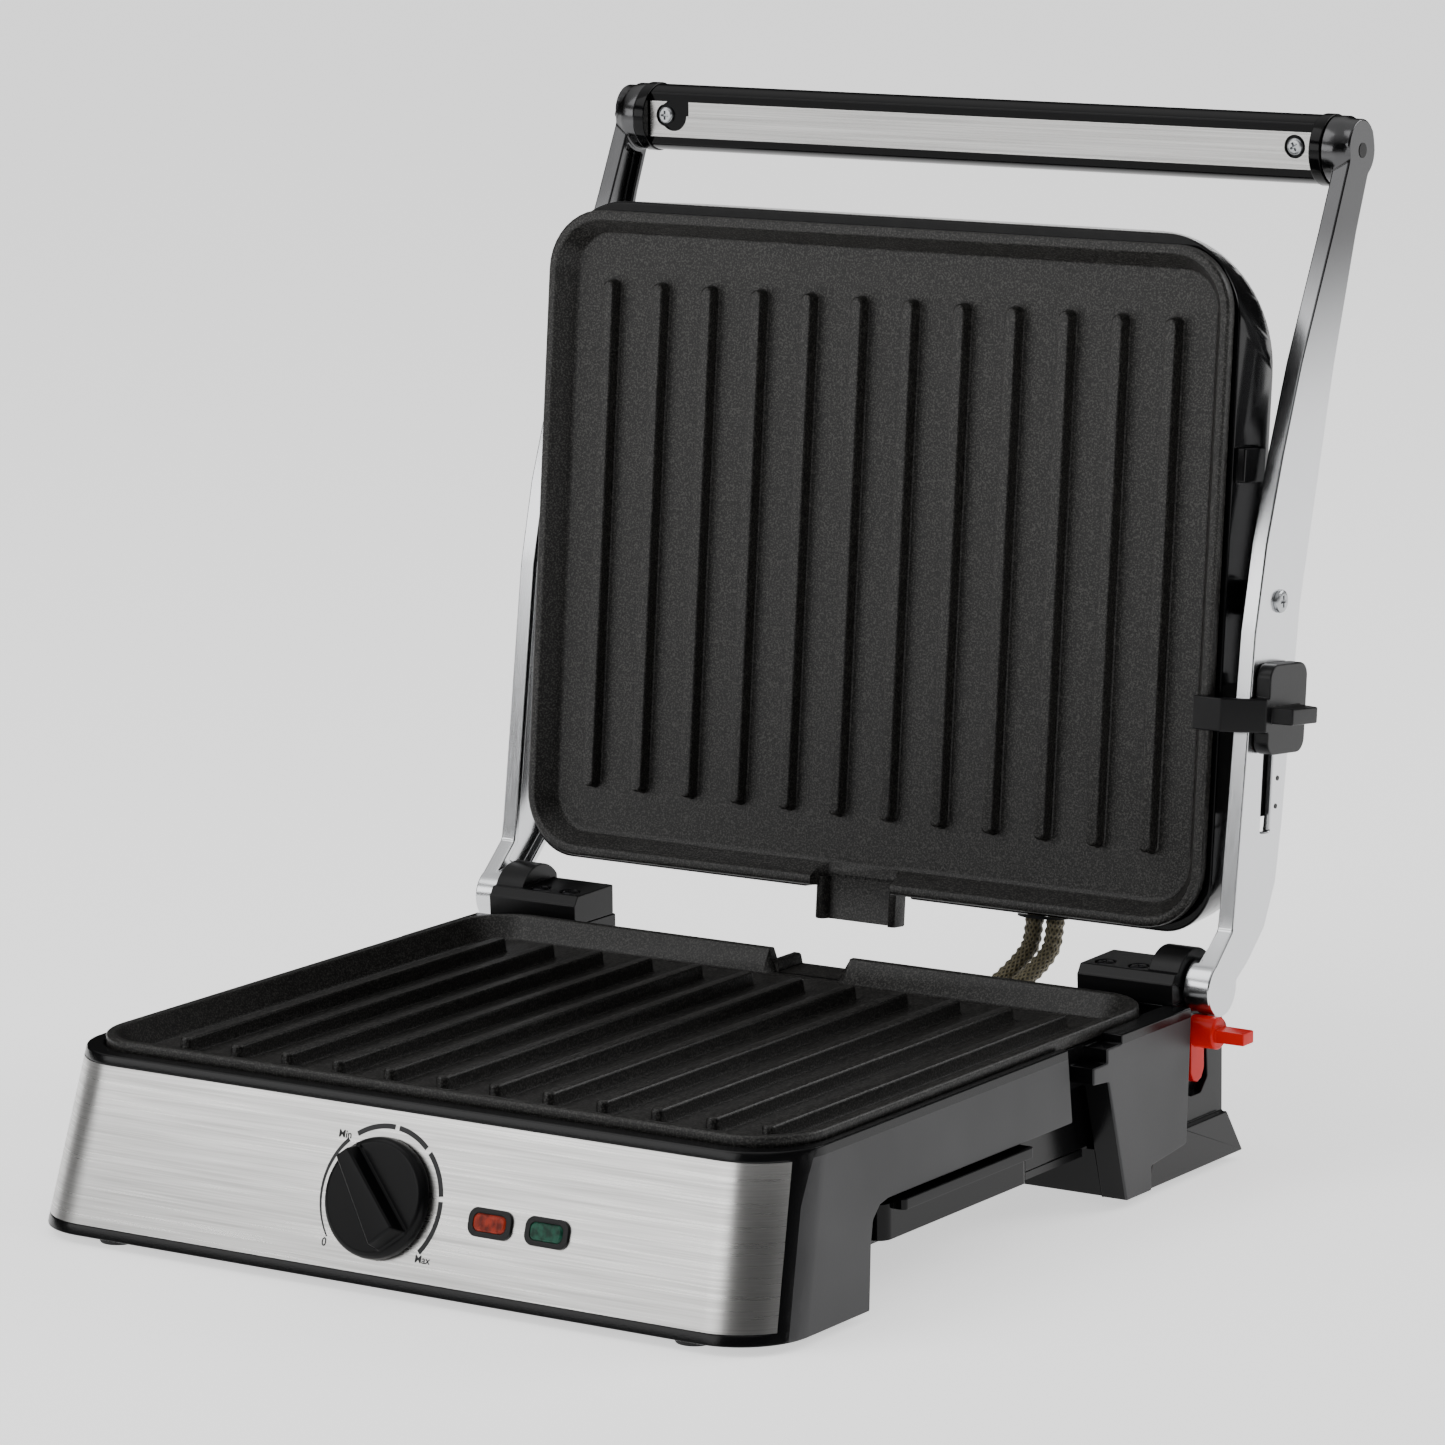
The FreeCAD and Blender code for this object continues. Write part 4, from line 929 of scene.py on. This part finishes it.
@dataclass
class BaseShell:
    """The base: moulded housing, steel wrap, hinge blocks, feet and what shows from below."""

    edge_round: float = 0.6
    block_screws: tuple[float, float, float] = (117.5, 126.5, 69.4)
    screw_gap: float = 13.0

    def build(self) -> None:
        """Rounds the mouldings' edges and sets the screws on the hinge blocks."""
        softened("lower_housing", GREY_HOUSING, Body.BASE, self.edge_round)
        softened("front_panel", PANEL_STEEL, Body.BASE, 0.0)
        for node in ("hinge_block_left", "hinge_block_right"):
            softened(node, BLACK_NYLON, Body.BASE, 0.5)
        softened("rubber_feet", RUBBER, Body.BASE, 0.3)
        x, y, z = self.block_screws
        for label, side in (("left", -1), ("right", 1)):
            place = TO_ROW @ Matrix.Translation((side * x, y, z))
            made = repeated("hinge_block_screws_" + label, screw_head(3.2, 1.6, 1.0), place, BLACK_OXIDE,
                            Body.BASE, 2, (-self.screw_gap / 2, 0, 0), (self.screw_gap, 0, 0), (0, 0, 0.6))
            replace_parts(made, "hinge_block_screws")


@dataclass
class ControlPanel:
    """What is on the brushed panel: knob, printed scale and the two lamps."""

    knob_x: float = -4.0
    scale_radius: float = 24.0
    # the scale runs clockwise: a line that swells from 0 to Min, then four even bars down to Max
    swell_degrees: tuple[float, float] = (218, 133)
    bars_degrees: tuple[tuple[float, float], ...] = ((124, 87), (83, 51), (46, 9), (5, -40))
    bar_width: float = 1.7
    # the print stands clear of the panel and is thicker than real ink, so that it shows
    ink_low: float = 0.01
    ink_high: float = 0.06
    bolder: float = 0.06

    def build(self) -> None:
        """Makes the knob, the lamps and the printed marks."""
        softened("control_knob", KNOB_BLACK, Body.KNOB, 0.8, 3)
        softened("indicator_bezels", BLACK_NYLON, Body.BASE, 0.25)
        softened("red_lens", RED_LENS, Body.BASE, 0.2)
        softened("green_lens", GREEN_LENS, Body.BASE, 0.2)
        marks = bmesh.new()
        self.arc(marks, *self.swell_degrees, 0.5, 1.4)
        for start, end in self.bars_degrees:
            self.arc(marks, start, end, self.bar_width, self.bar_width)
        piece("printed_scale", marks, PANEL, PRINT_INK, Body.BASE)
        self.word("0", -23.4, -16.6, 3.8)
        self.word("Min", -21.8, 18.4, 3.5)
        self.word("Max", 15.6, -17.0, 3.5)

    def arc(self, mesh: bmesh.types.BMesh, start: float, end: float, thick_start: float,
            thick_end: float) -> None:
        """Adds a printed arc outside the knob.

        Args:
            mesh: The mesh that gets it.
            start: Where it starts, in degrees anticlockwise from the right.
            end: Where it ends.
            thick_start: Its width at the start.
            thick_end: Its width at the end.
        """
        steps = 24
        rings = []
        for step in range(steps + 1):
            share = step / steps
            turn = math.radians(start + share * (end - start))
            inner = self.scale_radius - (thick_start + share * (thick_end - thick_start))
            at = Vector((math.cos(turn), math.sin(turn), 0))
            centre = Vector((self.knob_x, 0, 0))
            low, high = Vector((0, 0, self.ink_low)), Vector((0, 0, self.ink_high))
            rings.append([centre + inner * at + low, centre + self.scale_radius * at + low,
                          centre + self.scale_radius * at + high, centre + inner * at + high])
        made = add_rings(mesh, rings)
        mesh.faces.new(made[0])
        mesh.faces.new(made[-1])

    def word(self, text: str, x: float, y: float, size: float) -> None:
        """Prints a word of the scale.

        Args:
            text: The word.
            x: Its centre, to the right of the panel's middle.
            y: Its centre, up the panel from the knob's axis.
            size: Its letters' size.
        """
        curve = bpy.data.curves.new("word_" + text, "FONT")
        curve.body = text
        curve.size = size
        curve.extrude = 0.5 * (self.ink_high - self.ink_low)
        curve.offset = self.bolder
        curve.align_x = "CENTER"
        curve.align_y = "CENTER"
        mesh = applied(bpy.data.objects.new("word_" + text, curve))
        place = PANEL @ Matrix.Translation((x, y, 0.5 * (self.ink_low + self.ink_high)))
        piece("printed_" + text, mesh, place, PRINT_INK, Body.BASE)


@dataclass
class Lid:
    """The lid: moulded casing, steel cover on its back and what holds them."""

    cover_back: float = -38.2
    cover_screw_x: float = 112.0
    cover_screw_rows: tuple[float, float] = (6.0, 178.0)
    pivot: tuple[float, float, float] = (152.1, 172.6, 191.7)

    def build(self) -> None:
        """Rounds the casing and the cover, and sets the screws."""
        softened("lid_housing", BLACK_POLISHED, Body.LID, 0.8)
        softened("lid_cover", PANEL_STEEL, Body.LID, 0.3)
        for number, y in enumerate(self.cover_screw_rows):
            place = LID @ Matrix.Translation((0, y, self.cover_back)) @ Matrix.Rotation(math.pi, 4, "X")
            made = repeated(f"lid_cover_screws_{number}", screw_head(3.4, 1.6, 1.0), place, ZINC, Body.LID, 2,
                            (-self.cover_screw_x, 0, 0), (2 * self.cover_screw_x, 0, 0), (0, 0, 0.4))
            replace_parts(made, "lid_cover_screws")
        x, y, z = self.pivot
        facing = TO_ROW @ Matrix.Translation((0, y, z)) @ FACING_RIGHT
        made = repeated("pivot_screw_heads", screw_head(4.0, 1.6, 6.0), facing, ZINC, Body.LID, 2,
                        (0, 0, x), (0, 0, -2 * x), (0, math.pi, 0))
        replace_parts(made, "pivot_screws")
        softened("pivot_bushes", BLACK_NYLON, Body.LID, 0.3)


@dataclass
class ArmsAndHandle:
    """The two curved arms and the bar between them."""

    strip_screw: tuple[float, float, float] = (130.2, 222.3, 340.6)
    bolt_plug: tuple[float, float, float] = (151.75, 229.7, 339.6)

    def build(self) -> None:
        """Rounds the arms and the bar, and sets the strip's screws and the plugs over the bar's bolts."""
        softened("arm_right", ARM_METAL, Body.ARMS, 0.7, 3)
        softened("arm_left", ARM_METAL, Body.ARMS, 0.7, 3)
        softened("handle_bar", BLACK_POLISHED, Body.ARMS, 0.5)
        softened("handle_end_rings", BLACK_POLISHED, Body.ARMS, 0.5)
        softened("handle_strip", STRIP_STEEL, Body.ARMS, 0.2)
        x, y, z = self.strip_screw
        facing = TO_ROW @ Matrix.Translation((0, y, z)) @ Matrix.Rotation(math.pi / 2, 4, "X")
        made = repeated("handle_screw_heads", screw_head(3.1, 1.6, 3.0), facing, ZINC, Body.ARMS, 2,
                        (-x, 0, 0), (2 * x, 0, 0), (0, 0, 0.5))
        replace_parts(made, "handle_screws")
        x, y, z = self.bolt_plug
        repeated("bolt_plugs", disc(2.6, 2.6, 0.9, 32), TO_ROW, BLACK_NYLON, Body.ARMS, 2,
                 (-x, y, z), (2 * x, 0, 0))


@dataclass
class CatchLeverAndTray:
    """What is worked by hand on the right: height catch, release lever with its spring, and drip tray."""

    stop_pin: tuple[float, float, float] = (151.75, 171.9, 130.8)
    pin_step: tuple[float, float, float] = (0, -1.3, -9.5)
    spring_foot: tuple[float, float, float] = (131.5, 126.4, 33.0)
    spring_length: float = 14.7
    lever_travel: float = 4.5

    def build(self) -> None:
        """Rounds the moving parts, sets the stop pins and gives the spring a mesh of its own."""
        softened("height_catch", BLACK_NYLON, Body.CATCH, 0.6)
        repeated("stop_marks", disc(1.0, 0.85, 0.9, 24), TO_ROW, BLACK_NYLON, Body.ARMS, 2,
                 self.stop_pin, self.pin_step)
        softened("release_lever", RED_NYLON, Body.LEVER, 0.5)
        softened("drip_tray", BLACK_POLISHED, Body.TRAY, 0.4)
        spring = softened("lever_spring", NICKEL, Body.BASE, 0.0)
        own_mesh(spring)


@dataclass
class Loom:
    """Two braided sleeves that carry the wiring from the lid down into the base."""

    radius: float = 3.4
    band: float = 3.2
    ripple: float = 0.25
    half_gap: float = 4.2
    braid_repeat: float = 2.6
    bend_from: tuple[float, float, float] = (50, 130, 46)
    bend_to: tuple[float, float, float] = (68, 159, 79)

    def build(self) -> None:
        """Makes both sleeves as one curved piece, fixed between the base and the arms."""
        mesh = bmesh.new()
        layer = mesh.loops.layers.uv.new("along")
        for side in (-self.half_gap, self.half_gap):
            self.sleeve(mesh, layer, self.route(side))
        bmesh.ops.recalc_face_normals(mesh, faces=mesh.faces)
        for face in mesh.faces:
            face.smooth = True
        made = linked("braided_sleeves", mesh, SLEEVE)
        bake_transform(made)
        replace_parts(made, "wiring_sleeves")
        LOG.info("piece braided_sleeves: %d faces between base and arms", len(made.data.polygons))

    def route(self, side: float) -> list[Vector]:
        """The sleeve's centre line in millimetres, read from a smooth spline.

        Args:
            side: How far it lies to the right of the middle of the pair.

        Returns:
            Points close together.
        """
        in_lid = [(68, -24, -18), (67.5, -33, -18), (66, -42, -18.5)]
        in_base = [(55, 146, 48), (50, 131, 43.5), (46, 118, 41)]
        points = [LID_IN_DRAWING @ Vector((x + side, y, z)) for x, y, z in in_lid]
        points += [Vector((x + side, y, z)) for x, y, z in in_base]
        curve = bpy.data.curves.new("route", "CURVE")
        curve.dimensions = "3D"
        spline = curve.splines.new("NURBS")
        spline.points.add(len(points) - 1)
        for knot, p in zip(spline.points, points):
            knot.co = (*p, 1.0)
        spline.order_u = 3
        spline.use_endpoint_u = True
        curve.resolution_u = 24
        line = applied(bpy.data.objects.new("route", curve))
        found = [v.co.copy() for v in line.verts]
        line.free()
        return found

    def sleeve(self, mesh: bmesh.types.BMesh, layer: object, points: list[Vector]) -> None:
        """Adds one tube with soft corrugations and a UV map along it.

        Args:
            mesh: The mesh that gets it.
            layer: The UV layer.
            points: The centre line.
        """
        count = 20
        along, rings, lengths = 0.0, [], []
        up = Vector((1, 0, 0))
        fine = []
        for a, b in zip(points, points[1:]):
            parts = max(1, int((b - a).length / 0.5))
            fine += [a.lerp(b, i / parts) for i in range(parts)]
        fine.append(points[-1])
        for i, p in enumerate(fine):
            ahead = (fine[min(i + 1, len(fine) - 1)] - fine[max(i - 1, 0)]).normalized()
            side = ahead.cross(up).normalized()
            other = side.cross(ahead).normalized()
            if i:
                along += (p - fine[i - 1]).length
            swell = self.radius - self.ripple + self.ripple * math.cos(2 * math.pi * along / self.band)
            turns = [2 * math.pi * k / count for k in range(count)]
            rings.append([TO_ROW @ (p + swell * (math.cos(t) * side + math.sin(t) * other)) for t in turns])
            lengths.append(along)
        made = [[mesh.verts.new(q) for q in ring] for ring in rings]
        for i in range(len(made) - 1):
            for k in range(count):
                j = (k + 1) % count
                face = mesh.faces.new((made[i][k], made[i][j], made[i + 1][j], made[i + 1][k]))
                values = [(k / count, lengths[i]), ((k + 1) / count, lengths[i]),
                          ((k + 1) / count, lengths[i + 1]), (k / count, lengths[i + 1])]
                for loop, (u, v) in zip(face.loops, values):
                    loop[layer].uv = (u, v / self.braid_repeat)
        mesh.faces.new(made[0])
        mesh.faces.new(made[-1])


PLAIN_NODES: dict[str, Finish] = {
    # black, so that the recess behind the skirt is dark where the cover and rails show
    "bottom_cover": RECESS_BLACK,
    "bottom_screws": ZINC,
    "thermostat": NICKEL,
    "indicator_lamps": LAMP,
    "lower_element": SHEATH,
    "upper_element": SHEATH,
    "lower_reflector": BRIGHT_SHEET,
    "upper_reflector": BRIGHT_SHEET,
    "terminal_block": STEATITE,
    "cord_gland": RUBBER,
    "lid_gland": RUBBER,
    "grease_chute": BRIGHT_SHEET,
    "tray_rails": RECESS_BLACK,
    "knob_shaft": NICKEL,
    "hinge_pins": NICKEL,
    "handle_bolts": NICKEL,
    "thermal_cutout": NICKEL,
    # the catch shoe is a long black strip over the lower part of the arm's slot: a real shoe, lengthened into
    # painted shade of the slot
    "catch_shoe": BLACK_NYLON,
    "catch_screw": ZINC,
}


def dress_plain_nodes(nodes: dict[str, bpy.types.Object], finishes: dict[str, Finish]) -> None:
    """Gives the CAD nodes that stay as they are their finishes.

    Args:
        nodes: The CAD nodes by name.
        finishes: Finish of each node by name.
    """
    for name, finish in finishes.items():
        data = nodes[name].data
        data.materials.clear()
        data.materials.append(finish.material())
        LOG.info("node %s: %s", name, finish.name)


# ---------------------------------------------------------------------------- studio


@dataclass
class Studio:
    """A pale floor, soft lights and the camera."""

    camera_at: tuple[float, float, float] = (1197.6, -1729.0, 552.6)
    yaw: float = math.radians(33.8)
    pitch: float = math.radians(10.5)
    roll: float = math.radians(-0.60)
    lens: float = 161.25
    floor_half: float = 30.0
    floor_glow: float = 0.97

    def build(self) -> None:
        """Sets up the floor, the lights, the sky and the camera."""
        self.floor()
        self.sky()
        self.softbox("left_front_light", (-880, -1560, 720), (0, -60, 120), 1.9, 0.66, 13)
        self.softbox("key_light", (-900, -900, 1800), (0, 0, 60), 1.2, 1.2, 10)
        self.softbox("back_light", (1300, 1500, 1100), (60, 120, 180), 1.2, 0.8, 17)
        self.camera()

    def floor(self) -> None:
        """Lays a wide pale floor of milk glass, evenly lit from below."""
        mesh = bmesh.new()
        bmesh.ops.create_grid(mesh, x_segments=1, y_segments=1, size=self.floor_half)
        made = linked("floor", mesh, Finish("floor_card", "#F4F4F4", 0.9))
        shader = made.data.materials[0].node_tree.nodes["Principled BSDF"]
        shader.inputs["Emission Color"].default_value = (1, 1, 1, 1)
        shader.inputs["Emission Strength"].default_value = self.floor_glow
        shader.inputs["Specular IOR Level"].default_value = 0.0

    def sky(self) -> None:
        """Makes a white ceiling that falls off to a dark room, behind a white backdrop."""
        world = bpy.data.worlds.new("studio_room")
        world.use_nodes = True
        tree = world.node_tree
        up = add(tree, "ShaderNodeTexCoord").outputs["Generated"]
        height = add(tree, "ShaderNodeSeparateXYZ", {0: up}).outputs["Z"]
        stops = [(0.4, (0.02, 0.02, 0.02, 1)), (0.85, (0.9, 0.9, 0.9, 1))]
        room = add(tree, "ShaderNodeValToRGB", {0: height}, stops=stops).outputs[0]
        seen = add(tree, "ShaderNodeLightPath").outputs["Is Camera Ray"]
        shown = {0: seen, 6: room, 7: (1.0, 1.0, 1.0, 1.0)}
        backdrop = add(tree, "ShaderNodeMix", shown, data_type="RGBA").outputs[2]
        tree.links.new(backdrop, tree.nodes["Background"].inputs["Color"])
        tree.nodes["Background"].inputs["Strength"].default_value = 1.0
        bpy.context.scene.world = world

    def softbox(self, name: str, at: Sequence[float], target: Sequence[float], width: float, height: float,
                power: float) -> None:
        """Adds an area light.

        Args:
            name: The light's name.
            at: Its place in the drawing's millimetres.
            target: What it points at.
            width: Its width in metres.
            height: Its height in metres.
            power: Its power in watts.
        """
        light = bpy.data.lights.new(name, "AREA")
        light.shape = "RECTANGLE"
        light.size = width
        light.size_y = height
        light.energy = power
        made = bpy.data.objects.new(name, light)
        bpy.context.scene.collection.objects.link(made)
        made.location = TO_ROW @ Vector(at)
        aim = (TO_ROW @ Vector(target)) - made.location
        made.rotation_euler = aim.to_track_quat("-Z", "Y").to_euler()

    def camera(self) -> None:
        """Sets the camera in front, to the right and a little above."""
        data = bpy.data.cameras.new("camera")
        data.lens = self.lens
        data.sensor_width = 36.0
        data.clip_end = 100.0
        made = bpy.data.objects.new("camera", data)
        bpy.context.scene.collection.objects.link(made)
        back = Vector((math.sin(self.yaw) * math.cos(self.pitch), -math.cos(self.yaw) * math.cos(self.pitch),
                       math.sin(self.pitch)))
        right = Vector((math.cos(self.yaw), math.sin(self.yaw), 0))
        up = back.cross(right)
        level = math.cos(self.roll) * right + math.sin(self.roll) * up
        upright = -math.sin(self.roll) * right + math.cos(self.roll) * up
        turn = Matrix((level, upright, back)).transposed().to_4x4()
        made.matrix_world = Matrix.Translation(TO_ROW @ Vector(self.camera_at)) @ turn
        bpy.context.scene.camera = made


def main() -> None:
    """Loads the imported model, builds every sub-assembly and notes the sizes."""
    logging.basicConfig(level=logging.INFO, format="%(message)s")
    for old in list(bpy.data.objects):
        bpy.data.objects.remove(old)
    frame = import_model()
    dress_plain_nodes(frame["nodes"], PLAIN_NODES)
    BaseShell().build()
    GrillPlate("lower_plate", "lower_grill_plate", LOWER_PLATE, Body.BASE).build()
    GrillPlate("upper_plate", "upper_grill_plate", UPPER_PLATE, Body.LID).build()
    ControlPanel().build()
    Lid().build()
    ArmsAndHandle().build()
    CatchLeverAndTray().build()
    Loom().build()
    Studio().build()
    bpy.context.view_layer.update()


if __name__ == "__main__":
    main()
